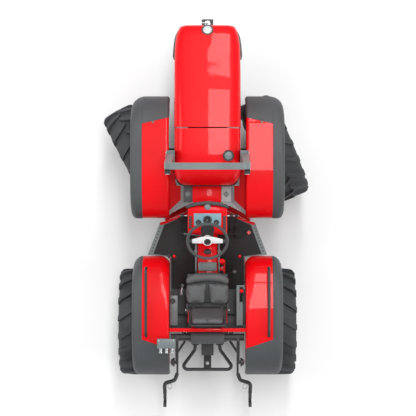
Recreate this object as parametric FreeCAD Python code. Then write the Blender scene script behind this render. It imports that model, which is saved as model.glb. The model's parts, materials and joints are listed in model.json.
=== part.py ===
import FreeCAD, Part
import math
import os

V = FreeCAD.Vector

# Compact narrow-track tractor with two half chassis that roll on a lengthwise swivel.
# Millimetres. Front faces -Y, the tractor's left is +X, up is +Z, tyres stand on z = 0.

# Wheels and axles
TYRE_R = 425.0            # tyre outer radius
TYRE_W = 280.0            # tyre section width
RIM_R = 228.0             # bead seat radius
RIM_WALL = 8.0            # rim sheet thickness
RIM_FLANGE = 16.0         # flange height above the bead seat
DISC_SHIFT = 26.0         # wheel disc, outboard of the tyre's middle
AXLE_Z = TYRE_R
FRONT_AXLE_Y = -485.0
REAR_AXLE_Y = 870.0
REAR_WHEEL_X = 557.0      # tyre middle
KINGPIN_X = 455.0
WHEEL_OFFSET = 80.0       # tyre middle, outboard of the kingpin
KINGPIN_R = 20.0
SPINDLE_R = 25.0
HUB_R = 62.0
BOLT_RING = 92.0
HOLE_RING = 155.0
RUN_FIT = 0.05            # radial clearance of shafts in bores
STEER_LEFT = 28.0         # left wheel's angle as stored, full left lock
STEER_RIGHT = 23.0        # right wheel's angle as stored
STEER_ARM = 130.0         # kingpin to track rod pin
TRACK_PIN_R = 8.0
TRACK_PIN_PLAY = 14.0     # open pivot: the arm's hole is this much larger in radius

# Front half chassis
FRAME_HALF = 140.0
FRAME_Z = (400.0, 480.0)
FRAME_FRONT_Y = -1430.0
ROLL_Z = 470.0            # lengthwise swivel height
ROLL_PIN_R = 40.0
ENGINE_HALF = 150.0
ENGINE_Y = (-1120.0, -650.0)
ENGINE_Z = (490.0, 890.0)

# Bonnet and covers
SKIN = 5.0
BONNET_HALF = 247.0
BONNET_TOP = 1185.0       # at its rear edge
BONNET_REAR_Y = -648.0
BONNET_SILL = 720.0
NOSE_Y = -1437.0
NOSE_HALF = 187.0
NOSE_TOP = 1000.0
HINGE_X = 70.0            # bonnet hinge brackets, either side
HINGE_Y = -668.0
HINGE_Z = 1162.0
HINGE_R = 6.0
SURROUND_REAR_Y = -1225.0
SURROUND_TOP = 900.0
SURROUND_LOW = 560.0
SURROUND_PROUD = 16.0
SPLIT_GAP = 8.0
COVER_HALF = 244.0
COVER_CREST_Y = -329.0
COVER_REAR_Y = -220.0
CAP_X = -157.0
CAP_Y = -432.0
CAP_R = 42.0
NECK_R = 31.0

# Roll bar
HOOP_TUBE = 48.0
HOOP_GAP = 8.0            # tank cover to the hoop's inner face
HOOP_IN = COVER_HALF + HOOP_GAP
HOOP_HALF = HOOP_IN + HOOP_TUBE
POST_T = 40.0             # width of the posts under the hoop
HOOP_DEPTH = 45.0
HOOP_PIVOT_Y = -425.0
HOOP_PIVOT_Z = 1230.0
HOOP_TOP_Z = 2100.0
HOOP_LEAN = 99.0          # top behind the pivot
HOOP_PIN_R = 8.0
PLATE = 5.0

# Fenders
FENDER_IN = 296.0
FENDER_OUT = 595.0
FENDER_SKIN = 6.0
FENDER_LIP = 46.0
FENDER_POWER = 2.6
WELL_GAP = 12.0           # rear tyre to fender, least
FRONT_FENDER_Y = (-912.0, 39.0)
FRONT_FENDER_Z = (700.0, 960.0)
REAR_FENDER_OUT = 582.0
REAR_FENDER_Y = (REAR_AXLE_Y - 533.0, REAR_AXLE_Y + 396.0)
REAR_FENDER_Z = (640.0, 960.0)
BAND_X = 504.0            # inner edge of the dark outer band
SEAM = 1.0

# Platform and driver's place
DECK_Z = 500.0
DECK_T = 8.0
DASH_HALF = 150.0
DASH_Y = (-70.0, 165.0)
DASH_TOP = 1050.0
WHEEL_Y = 211.0
WHEEL_Z = 1150.0
WHEEL_R = 150.0           # to the middle of the rim's section
WHEEL_GRIP_R = 12.0
WHEEL_TILT = 29.5
COLUMN_R = 12.0
SEAT_HALF = 177.0
SEAT_Y = (456.0, 742.0)
SEAT_Z = (770.0, 850.0)
BACK_TOP = 1170.0

# Rear linkage
LINK_PIVOT_X = 180.0
LINK_PIVOT_Y = REAR_AXLE_Y + 115.0
LINK_PIVOT_Z = 400.0
LINK_END_X = 341.5        # half the standard spread of the lower hitch points
LINK_END_Y = LINK_PIVOT_Y + 515.0
LINK_END_Z = 430.0
HITCH_PIN_R = 11.0
HOOK_REAR_Y = LINK_END_Y + 53.0
ROCK_Y = REAR_AXLE_Y + 95.0
ROCK_Z = 800.0
ROCK_R = 28.0
LIFT_END_Y = ROCK_Y + 195.0
LIFT_END_Z = 790.0
LIFT_X = 272.0
ROD_PIN_Y = LINK_PIVOT_Y + 215.0
ROD_PIN_PLAY = 9.0        # open pivot at the lift rod's foot
PTO_Z = 560.0
PTO_R = 17.5
PTO_JOURNAL_R = 24.0      # inside the case
PTO_OUT = 81.0            # stub length outside the case
PTO_SHANK = 34.0          # plain part of the stub, next to the case
PTO_SPLINES = 6
PTO_RELIEF = 0.5          # splines lie this much below the plain part
GROOVE_R = 3.0
DRAWBAR_HOLE_R = 14.0
CASE_REAR_Y = REAR_AXLE_Y + 140.0

os.makedirs("parts", exist_ok=True)


def box(x0, x1, y0, y1, z0, z1):
    return Part.makeBox(x1 - x0, y1 - y0, z1 - z0, V(x0, y0, z0))


def rod(p, q, radius):
    return Part.makeCylinder(radius, (q - p).Length, p, q - p)


def ring(p, q, outer, inner):
    along = (q - p).normalize()
    return rod(p, q, outer).cut(rod(p - along, q + along, inner))


def prism_z(points, z0, z1):
    corners = [V(x, y, z0) for x, y in points]
    return Part.Face(Part.makePolygon(corners + corners[:1])).extrude(V(0, 0, z1 - z0))


def prism_x(points, x0, x1):
    corners = [V(x0, y, z) for y, z in points]
    return Part.Face(Part.makePolygon(corners + corners[:1])).extrude(V(x1 - x0, 0, 0))


def fuse(first, *others):
    return first.fuse(list(others)).removeSplitter()


def mirrored(shape):
    return shape.mirror(V(0, 0, 0), V(1, 0, 0))


def pair(shape):
    return [shape, mirrored(shape)]


def turned(shape, centre, axis, degrees):
    copy = shape.copy()
    copy.rotate(centre, axis, degrees)
    return copy


def upright_edges(shape, x, y):
    """Vertical edges that stand at the plan point x, y."""
    found = []
    for edge in shape.Edges:
        ends = [v.Point for v in edge.Vertexes]
        if len(ends) == 2 and all(math.hypot(e.x - x, e.y - y) < 0.01 for e in ends):
            found.append(edge)
    return found


def bent_tube(points, radius, bend):
    """Round bar along straight runs joined by tangent arcs of one bend radius."""
    edges = []
    start = points[0]
    for before, corner, after in zip(points, points[1:], points[2:]):
        came = (corner - before).normalize()
        goes = (after - corner).normalize()
        half = came.getAngle(goes) / 2
        setback = bend * math.tan(half)
        first = corner - came * setback
        last = corner + goes * setback
        inward = (goes - came).normalize()
        middle = corner + inward * (bend / math.cos(half) - bend)
        edges.append(Part.makeLine(start, first))
        edges.append(Part.Arc(first, middle, last).toShape())
        start = last
    edges.append(Part.makeLine(start, points[-1]))
    section = Part.Wire(Part.makeCircle(radius, points[0], points[1] - points[0]))
    tube = Part.Wire(edges).makePipeShell([section], True, False)
    if tube.Volume < 0:
        tube.reverse()
    return tube


def node(name, *solids):
    shape = solids[0] if len(solids) == 1 else Part.makeCompound(list(solids))
    shape.exportStep("parts/" + name + ".step")


# ---------------------------------------------------------------- wheels
def tyre():
    """Tyre with its axis along X and its middle at the origin."""
    half = TYRE_W / 2
    bead = half - 18
    shoulder = 34.0
    z_side = TYRE_R - 90
    flange = RIM_R + RIM_FLANGE
    points = [V(-bead, 0, RIM_R), V(-bead, 0, flange), V(-half, 0, RIM_R + 55), V(-half, 0, z_side)]
    crown = [V(-half + shoulder, 0, TYRE_R), V(half - shoulder, 0, TYRE_R)]
    points += crown + [V(half, 0, z_side), V(half, 0, RIM_R + 55)]
    points += [V(bead, 0, flange), V(bead, 0, RIM_R)]
    outline = Part.Face(Part.makePolygon(points + points[:1]))
    return outline.revolve(V(0, 0, 0), V(1, 0, 0), 360)


def rim(hub_in, hub_out):
    """Rim with flanges, dished disc and hub, in the same frame as its tyre."""
    half = TYRE_W / 2 - 18
    barrel = ring(V(-half, 0, 0), V(half, 0, 0), RIM_R, RIM_R - RIM_WALL)
    inner = ring(V(-half - 6, 0, 0), V(-half, 0, 0), RIM_R + RIM_FLANGE, RIM_R - RIM_WALL)
    outer = ring(V(half, 0, 0), V(half + 6, 0, 0), RIM_R + RIM_FLANGE, RIM_R - RIM_WALL)
    disc = rod(V(DISC_SHIFT, 0, 0), V(DISC_SHIFT + 10, 0, 0), RIM_R - RIM_WALL)
    disc = fuse(disc, rod(V(hub_in, 0, 0), V(hub_out, 0, 0), HUB_R))
    for k in range(6):
        angle = math.radians(60 * k)
        centre = V(DISC_SHIFT - 1, BOLT_RING * math.cos(angle), BOLT_RING * math.sin(angle))
        disc = disc.fuse(rod(centre, centre + V(24, 0, 0), 11))
    for k in range(6):
        angle = math.radians(60 * k + 30)
        centre = V(DISC_SHIFT - 1, HOLE_RING * math.cos(angle), HOLE_RING * math.sin(angle))
        disc = disc.cut(rod(centre, centre + V(12, 0, 0), 22))
    return fuse(barrel, inner, outer), disc


def placed(shape, x, y, side):
    """Wheel part moved to its axle; the right one is the left one's mirror image."""
    copy = shape.copy()
    copy.translate(V(x, y, AXLE_Z))
    return copy if side > 0 else mirrored(copy)


SPINDLE_OUT = WHEEL_OFFSET + 40
AXLE_SHAFT_IN = 330.0
REAR_HOUSING_X = 420.0
rear_barrel, rear_disc = rim(REAR_HOUSING_X + 4 - REAR_WHEEL_X, DISC_SHIFT + 40)
rear_disc = rear_disc.fuse(rod(V(AXLE_SHAFT_IN - REAR_WHEEL_X, 0, 0), V(0, 0, 0), SPINDLE_R + 5))
front_barrel, front_disc = rim(54 - WHEEL_OFFSET, SPINDLE_OUT + 14 - WHEEL_OFFSET)
spindle_hole = rod(V(50 - WHEEL_OFFSET, 0, 0), V(SPINDLE_OUT + 2 - WHEEL_OFFSET, 0, 0),
                   SPINDLE_R + RUN_FIT)
front_disc = front_disc.cut(spindle_hole)


def knuckle():
    """Steering knuckle for the left side, straight ahead, kingpin on the Z axis."""
    pin = rod(V(0, 0, -72), V(0, 0, 72), KINGPIN_R)
    top = box(-30, 50, -30, 30, 58, 78)
    foot = box(-30, 50, -30, 30, -78, -58)
    web = box(30, 50, -40, 40, -78, 78).cut(rod(V(0, 0, -58), V(0, 0, 58), 46))
    spindle = rod(V(47, 0, 0), V(SPINDLE_OUT, 0, 0), SPINDLE_R)
    arm = box(-16, 16, 20, STEER_ARM, 60, 76)
    eye = rod(V(0, STEER_ARM, 60), V(0, STEER_ARM, 76), TRACK_PIN_R + TRACK_PIN_PLAY + 12)
    hole = rod(V(0, STEER_ARM, 50), V(0, STEER_ARM, 86), TRACK_PIN_R + TRACK_PIN_PLAY)
    return fuse(pin, top, foot, web, spindle, arm, eye).cut(hole)


UP = V(0, 0, 1)
ACROSS = V(1, 0, 0)
for side, label, steer in ((1, "left", STEER_LEFT), (-1, "right", STEER_RIGHT)):
    kingpin = V(side * KINGPIN_X, FRONT_AXLE_Y, AXLE_Z)
    wheel_x = KINGPIN_X + WHEEL_OFFSET
    front_tyre = placed(tyre(), wheel_x, FRONT_AXLE_Y, side)
    node("front_tyre_" + label, turned(front_tyre, kingpin, UP, steer))
    front_rim = [placed(shape, wheel_x, FRONT_AXLE_Y, side) for shape in (front_barrel, front_disc)]
    node("front_rim_" + label, *[turned(shape, kingpin, UP, steer) for shape in front_rim])
    carrier = placed(knuckle(), KINGPIN_X, FRONT_AXLE_Y, side)
    node("knuckle_" + label, turned(carrier, kingpin, UP, steer))
    node("rear_tyre_" + label, placed(tyre(), REAR_WHEEL_X, REAR_AXLE_Y, side))
    rear_rim = [placed(shape, REAR_WHEEL_X, REAR_AXLE_Y, side) for shape in (rear_barrel, rear_disc)]
    node("rear_rim_" + label, *rear_rim)


# ---------------------------------------------------------------- front axle and steering
def axle_end():
    boss = rod(V(KINGPIN_X, FRONT_AXLE_Y, AXLE_Z - 57), V(KINGPIN_X, FRONT_AXLE_Y, AXLE_Z + 57), 42)
    arm = box(0, KINGPIN_X, FRONT_AXLE_Y - 34, FRONT_AXLE_Y + 34, AXLE_Z - 40, AXLE_Z + 40)
    return fuse(boss, arm)


KINGPIN_BORE = rod(V(KINGPIN_X, FRONT_AXLE_Y, AXLE_Z - 60), V(KINGPIN_X, FRONT_AXLE_Y, AXLE_Z + 60),
                   KINGPIN_R + RUN_FIT)
case = rod(V(0, FRONT_AXLE_Y - 70, AXLE_Z), V(0, FRONT_AXLE_Y + 70, AXLE_Z), 95)
axle = fuse(case, axle_end(), mirrored(axle_end())).cut(KINGPIN_BORE).cut(mirrored(KINGPIN_BORE))

TRACK_Y = FRONT_AXLE_Y + STEER_ARM * 0.945
TRACK_Z = AXLE_Z + 44
TRACK_R = 12.0
left_pin_x = KINGPIN_X - STEER_ARM * math.sin(math.radians(STEER_LEFT))
right_pin_x = -KINGPIN_X - STEER_ARM * math.sin(math.radians(STEER_RIGHT)) - 2
cylinder = ring(V(-150, TRACK_Y, TRACK_Z), V(150, TRACK_Y, TRACK_Z), 34, TRACK_R + RUN_FIT)
saddle = box(-60, 60, FRONT_AXLE_Y + 60, TRACK_Y, TRACK_Z - 30, TRACK_Z + 20)
saddle = saddle.cut(rod(V(-70, TRACK_Y, TRACK_Z), V(70, TRACK_Y, TRACK_Z), 30)).cut(axle)
cylinder = cylinder.fuse(saddle)
node("front_axle", axle, cylinder)

track = rod(V(right_pin_x, TRACK_Y, TRACK_Z), V(left_pin_x, TRACK_Y, TRACK_Z), TRACK_R)
for pin_x in (left_pin_x, right_pin_x):
    stud = rod(V(pin_x, TRACK_Y, TRACK_Z), V(pin_x, TRACK_Y, AXLE_Z + 84), TRACK_PIN_R)
    end = Part.makeSphere(16, V(pin_x, TRACK_Y, TRACK_Z - 4))
    track = fuse(track, stud, end.common(box(-900, 900, -900, 900, 0, TRACK_Z + 9)))
node("steering_rod", track)


# ---------------------------------------------------------------- front frame and engine
rail = box(FRAME_HALF - 24, FRAME_HALF, FRAME_FRONT_Y, -190, *FRAME_Z)
cross = []
for y in (FRAME_FRONT_Y, -1180, -760, -214):
    cross.append(box(-FRAME_HALF, FRAME_HALF, y, y + 24, *FRAME_Z))
post_half = HOOP_DEPTH / 2
outrigger = box(FRAME_HALF - 1, HOOP_IN + POST_T, HOOP_PIVOT_Y - post_half, HOOP_PIVOT_Y + post_half,
                FRAME_Z[1] - 30, 560)
roll_pin = rod(V(0, -200, ROLL_Z), V(0, 40, ROLL_Z), ROLL_PIN_R)
collar = rod(V(0, -190, ROLL_Z), V(0, -60, ROLL_Z), 75)
frame = fuse(rail, mirrored(rail), *cross, outrigger, mirrored(outrigger), collar, roll_pin)
frame = frame.cut(axle).cut(box(-500, 500, FRONT_AXLE_Y - 36, FRONT_AXLE_Y + 36, 380, AXLE_Z + 41))
stub = box(-FRAME_HALF, FRAME_HALF, FRONT_AXLE_Y - 60, FRONT_AXLE_Y + 60, AXLE_Z + 41, FRAME_Z[1])
cylinder_seat = rod(V(-150, TRACK_Y, TRACK_Z), V(150, TRACK_Y, TRACK_Z), 34)
frame = frame.fuse(stub.cut(axle)).cut(cylinder_seat).cut(saddle).removeSplitter()
node("front_frame", frame)

block = box(-ENGINE_HALF, ENGINE_HALF, *ENGINE_Y, *ENGINE_Z)
for k in range(4):
    y = ENGINE_Y[0] + 60 + 110 * k
    block = block.cut(rod(V(ENGINE_HALF - 6, y, 700), V(ENGINE_HALF + 1, y, 700), 30))
bell = rod(V(0, ENGINE_Y[1], 640), V(0, ENGINE_Y[1] + 60, 640), 140)
block = block.fuse(bell)
head = box(-120, 120, ENGINE_Y[0] + 20, ENGINE_Y[1] - 20, ENGINE_Z[1], ENGINE_Z[1] + 110)
for k in range(4):
    y = ENGINE_Y[0] + 70 + 105 * k
    head = head.fuse(rod(V(120, y, 950), V(150, y, 950), 22))
node("engine", block, head)

RADIATOR_Y = -1290.0
core = box(-190, 190, RADIATOR_Y, RADIATOR_Y + 50, 570, 930)
tank = box(-170, 170, RADIATOR_Y - 8, RADIATOR_Y + 58, 930, 965)
radiator = fuse(core, tank, box(-150, 150, RADIATOR_Y, RADIATOR_Y + 50, FRAME_Z[1], 570))
node("radiator", radiator)

FAN_Y = -1180.0
fan_hub = rod(V(0, FAN_Y - 25, 740), V(0, FAN_Y + 30, 740), 45)
blades = []
for k in range(6):
    blade = box(40, 150, FAN_Y - 3, FAN_Y + 3, 722, 758)
    blade = turned(blade, V(0, FAN_Y, 740), V(1, 0, 0), 28)
    blades.append(turned(blade, V(0, FAN_Y, 740), V(0, 1, 0), 60 * k))
fan_shaft = rod(V(0, FAN_Y, 740), V(0, ENGINE_Y[0] - 2, 740), 15)
node("fan", fuse(fan_hub, fan_shaft, *blades))

node("battery", box(-120, 120, -1405, -1318, FRAME_Z[1], 720))
cleaner = rod(V(-150, -1180, 995), V(150, -1180, 995), 58)
duct = rod(V(40, -1150, 995), V(40, ENGINE_Y[0] + 22, 955), 24)
node("air_cleaner", cleaner.fuse(duct.cut(head)))
SILENCER_X = 60.0
silencer = rod(V(SILENCER_X, -1140, 440), V(SILENCER_X, -800, 440), 37)
flange = rod(V(SILENCER_X, -900, 460), V(SILENCER_X, -900, ENGINE_Z[0]), 20)
node("silencer", silencer.fuse(flange))

TANK_Y = (-620.0, -262.0)
fuel = box(-195, 195, *TANK_Y, 800, 1100)
neck = rod(V(CAP_X, CAP_Y, 1090), V(CAP_X, CAP_Y, BONNET_TOP + 28), NECK_R)
strap = box(-FRAME_HALF, FRAME_HALF, -330, -290, FRAME_Z[1], 800)
bracket = box(HINGE_X - 4, HINGE_X + 4, HINGE_Y - 8, HINGE_Y + 8, 1085, HINGE_Z)
bracket = bracket.fuse(rod(V(HINGE_X - 4, HINGE_Y, HINGE_Z), V(HINGE_X + 4, HINGE_Y, HINGE_Z), 8))
bracket = bracket.fuse(box(HINGE_X - 4, HINGE_X + 4, HINGE_Y - 8, TANK_Y[0] + 20, 1080, 1100))
hinge_hole = rod(V(0, HINGE_Y, HINGE_Z), V(200, HINGE_Y, HINGE_Z), HINGE_R + RUN_FIT)
bracket = bracket.cut(hinge_hole)
fuel = fuse(fuel, neck, strap, bracket, mirrored(bracket))
filler = rod(V(CAP_X, CAP_Y, BONNET_TOP - 30), V(CAP_X, CAP_Y, BONNET_TOP + 40), NECK_R - 5)
node("fuel_tank", fuel.cut(filler))
cap_z = BONNET_TOP + 28.4
cap = rod(V(CAP_X, CAP_Y, cap_z), V(CAP_X, CAP_Y, cap_z + 18), CAP_R)
crown = rod(V(CAP_X, CAP_Y, cap_z + 18), V(CAP_X, CAP_Y, cap_z + 26), CAP_R - 12)
plug = rod(V(CAP_X, CAP_Y, cap_z - 20), V(CAP_X, CAP_Y, cap_z), NECK_R - 5.3)
node("fuel_cap", fuse(cap, crown, plug))


# ---------------------------------------------------------------- bonnet, cover and nose
def shell_section(y, half, top, sill, radius):
    """Rounded hoop section across the machine, closed along the sill."""
    bend = radius * (1 - math.sqrt(0.5))
    left = Part.makeLine(V(half, y, sill), V(half, y, top - radius))
    arc = Part.Arc(V(half, y, top - radius), V(half - bend, y, top - bend), V(half - radius, y, top))
    roof = Part.makeLine(V(half - radius, y, top), V(radius - half, y, top))
    other = Part.Arc(V(radius - half, y, top), V(bend - half, y, top - bend),
                     V(-half, y, top - radius))
    right = Part.makeLine(V(-half, y, top - radius), V(-half, y, sill))
    floor = Part.makeLine(V(-half, y, sill), V(half, y, sill))
    return Part.Wire([left, arc.toShape(), roof, other.toShape(), right, floor])


def shell(stations, sill, inset, first_y, last_y):
    """Loft through stations of y, half width, top and corner radius."""
    wires = []
    for k, (y, half, top, radius) in enumerate(stations):
        y = first_y if k == 0 else last_y if k == len(stations) - 1 else y
        wires.append(shell_section(y, half - inset, top - inset, sill, radius - inset))
    return Part.makeLoft(wires, True, True)


bonnet_line = [
    (NOSE_Y, NOSE_HALF, NOSE_TOP - 40, 40.0),
    (NOSE_Y + 14, NOSE_HALF + 22, NOSE_TOP - 14, 46.0),
    (NOSE_Y + 60, NOSE_HALF + 42, NOSE_TOP + 12, 52.0),
    (NOSE_Y + 120, BONNET_HALF - 7, NOSE_TOP + 36, 56.0),
    (NOSE_Y + 190, BONNET_HALF - 2, NOSE_TOP + 60, 58.0),
    (-1100.0, BONNET_HALF, BONNET_TOP - 90, 60.0),
    (-950.0, BONNET_HALF, BONNET_TOP - 55, 62.0),
    (-800.0, BONNET_HALF, BONNET_TOP - 25, 64.0),
    (BONNET_REAR_Y, BONNET_HALF, BONNET_TOP, 66.0),
]
bonnet = shell(bonnet_line, BONNET_SILL, 0, NOSE_Y, BONNET_REAR_Y)
bonnet_hollow = shell(bonnet_line, BONNET_SILL - 20, SKIN, NOSE_Y + SKIN, BONNET_REAR_Y + 5)
nose_cut = box(-400, 400, NOSE_Y - 20, -900, BONNET_SILL - 30, SURROUND_TOP + 4)
sweep = math.hypot(SURROUND_REAR_Y + 6 - HINGE_Y, SURROUND_TOP - HINGE_Z)
opening_arc = rod(V(-400, HINGE_Y, HINGE_Z), V(400, HINGE_Y, HINGE_Z), sweep)
bonnet = bonnet.cut(bonnet_hollow).cut(nose_cut.cut(opening_arc))
hinge_lug = box(HINGE_X + 5, HINGE_X + 13, HINGE_Y - HINGE_R, HINGE_Y + HINGE_R, HINGE_Z, 1176)
hinge_pin = rod(V(HINGE_X - 8, HINGE_Y, HINGE_Z), V(HINGE_X + 13, HINGE_Y, HINGE_Z), HINGE_R)
hinge_pin = hinge_pin.fuse(hinge_lug)
node("bonnet", fuse(bonnet, hinge_pin, mirrored(hinge_pin)))

cover_line = [
    (BONNET_REAR_Y + SPLIT_GAP, COVER_HALF, BONNET_TOP, 66.0),
    (-540.0, COVER_HALF, BONNET_TOP + 8, 66.0),
    (-420.0, COVER_HALF, BONNET_TOP + 6, 66.0),
    (COVER_CREST_Y, COVER_HALF, BONNET_TOP - 14, 66.0),
    (-290.0, COVER_HALF - 1, BONNET_TOP - 40, 66.0),
    (-256.0, COVER_HALF - 2, BONNET_TOP - 84, 66.0),
    (-234.0, COVER_HALF - 4, BONNET_TOP - 132, 62.0),
    (COVER_REAR_Y, COVER_HALF - 6, 1000.0, 60.0),
]
cover = shell(cover_line, 760, 0, cover_line[0][0], COVER_REAR_Y)
cover_hollow = shell(cover_line, 740, SKIN, cover_line[0][0] - 5, COVER_REAR_Y - SKIN)
neck_hole = rod(V(CAP_X, CAP_Y, BONNET_TOP - 30), V(CAP_X, CAP_Y, BONNET_TOP + 30), NECK_R + 2)
node("tank_cover", cover.cut(cover_hollow).cut(neck_hole))


def nose_plan(grow, front):
    points = [(NOSE_HALF - 16, front), (NOSE_HALF + 28, front + 24), (BONNET_HALF - 10, front + 86),
              (BONNET_HALF, SURROUND_REAR_Y)]
    right = [(x + grow, y) for x, y in points]
    return right + [(-x, y) for x, y in reversed(right)]


outer_nose = prism_z(nose_plan(SURROUND_PROUD, NOSE_Y - SURROUND_PROUD), SURROUND_LOW, SURROUND_TOP)
inner_nose = prism_z(nose_plan(4, NOSE_Y - 2), SURROUND_LOW - 5, SURROUND_TOP + 5)
inner_nose = inner_nose.fuse(box(-200, 200, SURROUND_REAR_Y - 30, SURROUND_REAR_Y + 10, 500, 950))
wide_cut = box(-BONNET_HALF - 4, BONNET_HALF + 4, SURROUND_REAR_Y - 60, SURROUND_REAR_Y + 20, 500, 950)
surround = outer_nose.cut(inner_nose).cut(wide_cut)
GRILLE_HALF = 105.0
grille_window = box(-GRILLE_HALF, GRILLE_HALF, NOSE_Y - 30, NOSE_Y + 20, 620, 850)
surround = surround.cut(grille_window)
brace = box(GRILLE_HALF, 170, NOSE_Y - 2, FRAME_FRONT_Y + 24, SURROUND_LOW, 600)
brace = fuse(brace, box(GRILLE_HALF, FRAME_HALF, FRAME_FRONT_Y, FRAME_FRONT_Y + 24, 480, 600))
surround = fuse(surround, brace, mirrored(brace))
slats = []
for k in range(9):
    z = 636 + 25 * k
    slats.append(box(-GRILLE_HALF + 1, GRILLE_HALF - 1, NOSE_Y - 12, NOSE_Y - 4, z, z + 9))
frame_bar = box(-5, 5, NOSE_Y - 4, NOSE_Y, 621, 849)
node("nose_surround", surround, fuse(frame_bar, *slats))

HOOK_Z = (455.0, 520.0)
hook = box(-46, 46, -1545, FRAME_FRONT_Y, *HOOK_Z).cut(box(-50, 50, -1549, -1462, 472, 503))
hook = hook.cut(rod(V(0, -1510, 400), V(0, -1510, 560), 14))
hook = hook.fuse(box(-110, 110, -1446, FRAME_FRONT_Y, 420, 540))
node("tow_hook", hook)
tow_pin = rod(V(0, -1510, 440), V(0, -1510, 524), 14 - RUN_FIT)
tow_pin = tow_pin.fuse(rod(V(0, -1510, 520.5), V(0, -1510, 530), 22))
handle = bent_tube([V(0, -1510, 525), V(0, -1510, 560), V(42, -1510, 560)], 5, 12)
node("tow_pin", tow_pin.fuse(handle))


# ---------------------------------------------------------------- roll bar
POST_TOP = HOOP_PIVOT_Z - 37
hoop_outline = box(-HOOP_HALF, HOOP_HALF, -post_half, post_half, 0, HOOP_TOP_Z - HOOP_PIVOT_Z + 24)
top_edges = [e for e in hoop_outline.Edges
             if e.BoundBox.ZMin > 100 and e.BoundBox.YLength > 10]
hoop_outline = hoop_outline.makeFillet(80, top_edges)
inner_outline = box(-HOOP_IN, HOOP_IN, -post_half - 1, post_half + 1, -1,
                    HOOP_TOP_Z - HOOP_PIVOT_Z + 24 - HOOP_TUBE)
inner_edges = [e for e in inner_outline.Edges
               if e.BoundBox.ZMin > 100 and e.BoundBox.YLength > 10]
inner_outline = inner_outline.makeFillet(80 - HOOP_TUBE, inner_edges)
hoop = hoop_outline.cut(inner_outline)
hoop.translate(V(0, HOOP_PIVOT_Y, HOOP_PIVOT_Z - 24))
pivot = V(0, HOOP_PIVOT_Y, HOOP_PIVOT_Z)
lean = math.degrees(math.atan2(HOOP_LEAN, HOOP_TOP_Z - HOOP_PIVOT_Z))
hoop = turned(hoop, pivot, V(1, 0, 0), -lean)
pin_hole = rod(pivot - V(400, 0, 0), pivot + V(400, 0, 0), HOOP_PIN_R + RUN_FIT)
node("roll_bar", hoop.cut(pin_hole))

OUT_PLATE = HOOP_HALF + 0.5
IN_PLATE = HOOP_IN - 0.5
post = box(HOOP_IN, HOOP_IN + POST_T, HOOP_PIVOT_Y - post_half, HOOP_PIVOT_Y + post_half, 560, POST_TOP)
block_low = box(IN_PLATE - PLATE, OUT_PLATE + PLATE, HOOP_PIVOT_Y - 48, HOOP_PIVOT_Y + 48,
                POST_TOP - 60, POST_TOP)
block_low = block_low.cut(box(0, COVER_HALF + 1, -600, -300, 1000, 1300))
outer_plate = box(OUT_PLATE, OUT_PLATE + PLATE, HOOP_PIVOT_Y - 48, HOOP_PIVOT_Y + 48,
                  POST_TOP - 60, HOOP_PIVOT_Z + 32)
inner_plate = box(IN_PLATE - PLATE, IN_PLATE, HOOP_PIVOT_Y - 48, HOOP_PIVOT_Y + 48,
                  POST_TOP - 60, HOOP_PIVOT_Z + 32)
fold_pin = rod(V(IN_PLATE - PLATE - 1, HOOP_PIVOT_Y, HOOP_PIVOT_Z),
               V(OUT_PLATE + PLATE + 12, HOOP_PIVOT_Y, HOOP_PIVOT_Z), HOOP_PIN_R)
post = fuse(post, block_low, outer_plate, inner_plate, fold_pin)
node("roll_bar_posts", *pair(post))


# ---------------------------------------------------------------- fenders
def arch_face(x, y_range, z_range, inset):
    """Arched side outline: a super-ellipse quarter each way over a flat base."""
    middle = sum(y_range) / 2
    reach = (y_range[1] - y_range[0]) / 2 - inset
    rise = z_range[1] - z_range[0] - inset
    points = []
    for k in range(17):
        angle = math.pi * k / 16
        c = math.cos(angle)
        y = middle + reach * math.copysign(abs(c) ** (2 / FENDER_POWER), c)
        z = z_range[0] + rise * abs(math.sin(angle)) ** (2 / FENDER_POWER)
        points.append(V(x, y, z))
    curve = Part.BSplineCurve()
    curve.interpolate(points)
    base = Part.makeLine(points[-1], points[0])
    return Part.Face(Part.Wire([curve.toShape(), base]))


def fender(y_range, z_range, out, front_round, rear_round):
    """Thin arched cover, open below and inboard, with a lip along its outer side."""
    def plan(inset, inner):
        shape = box(inner, out - inset, y_range[0] + inset, y_range[1] - inset, 0, 1500)
        front = upright_edges(shape, out - inset, y_range[0] + inset)
        shape = shape.makeFillet(front_round - inset, front)
        rear = upright_edges(shape, out - inset, y_range[1] - inset)
        return shape.makeFillet(rear_round - inset, rear)

    deep = V(out - FENDER_IN + 20, 0, 0)
    outer = arch_face(FENDER_IN, y_range, z_range, 0).extrude(deep).common(plan(0, FENDER_IN))
    hollow = arch_face(FENDER_IN - 10, y_range, z_range, FENDER_SKIN).extrude(deep)
    hollow = hollow.common(plan(FENDER_SKIN, FENDER_IN - 10))
    low = arch_face(FENDER_IN - 20, y_range, z_range, FENDER_SKIN + FENDER_LIP)
    low = low.extrude(deep * 2)
    under = box(0, 900, y_range[0] - 10, y_range[1] + 10, z_range[0] - 50, z_range[0] + 0.01)
    return outer.cut(hollow).cut(low.common(plan(-20, FENDER_IN - 30))).cut(under)


def split(shape, y_front, y_inner, y_outer, y_far, band_end):
    """Cut a fender into its painted top and its dark band with cap, a seam apart."""
    paint = prism_z([(FENDER_IN - 30, y_inner), (BAND_X - SEAM, y_outer), (BAND_X - SEAM, y_far),
                     (FENDER_IN - 30, y_far)], 0, 1500)
    step = SEAM if y_front < y_inner else -SEAM
    keep = prism_z([(FENDER_IN - 31, y_inner - step), (BAND_X, y_outer - step), (BAND_X, band_end),
                    (FENDER_IN - 31, band_end)], -1, 1501)
    return shape.common(paint), shape.cut(keep)


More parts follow.
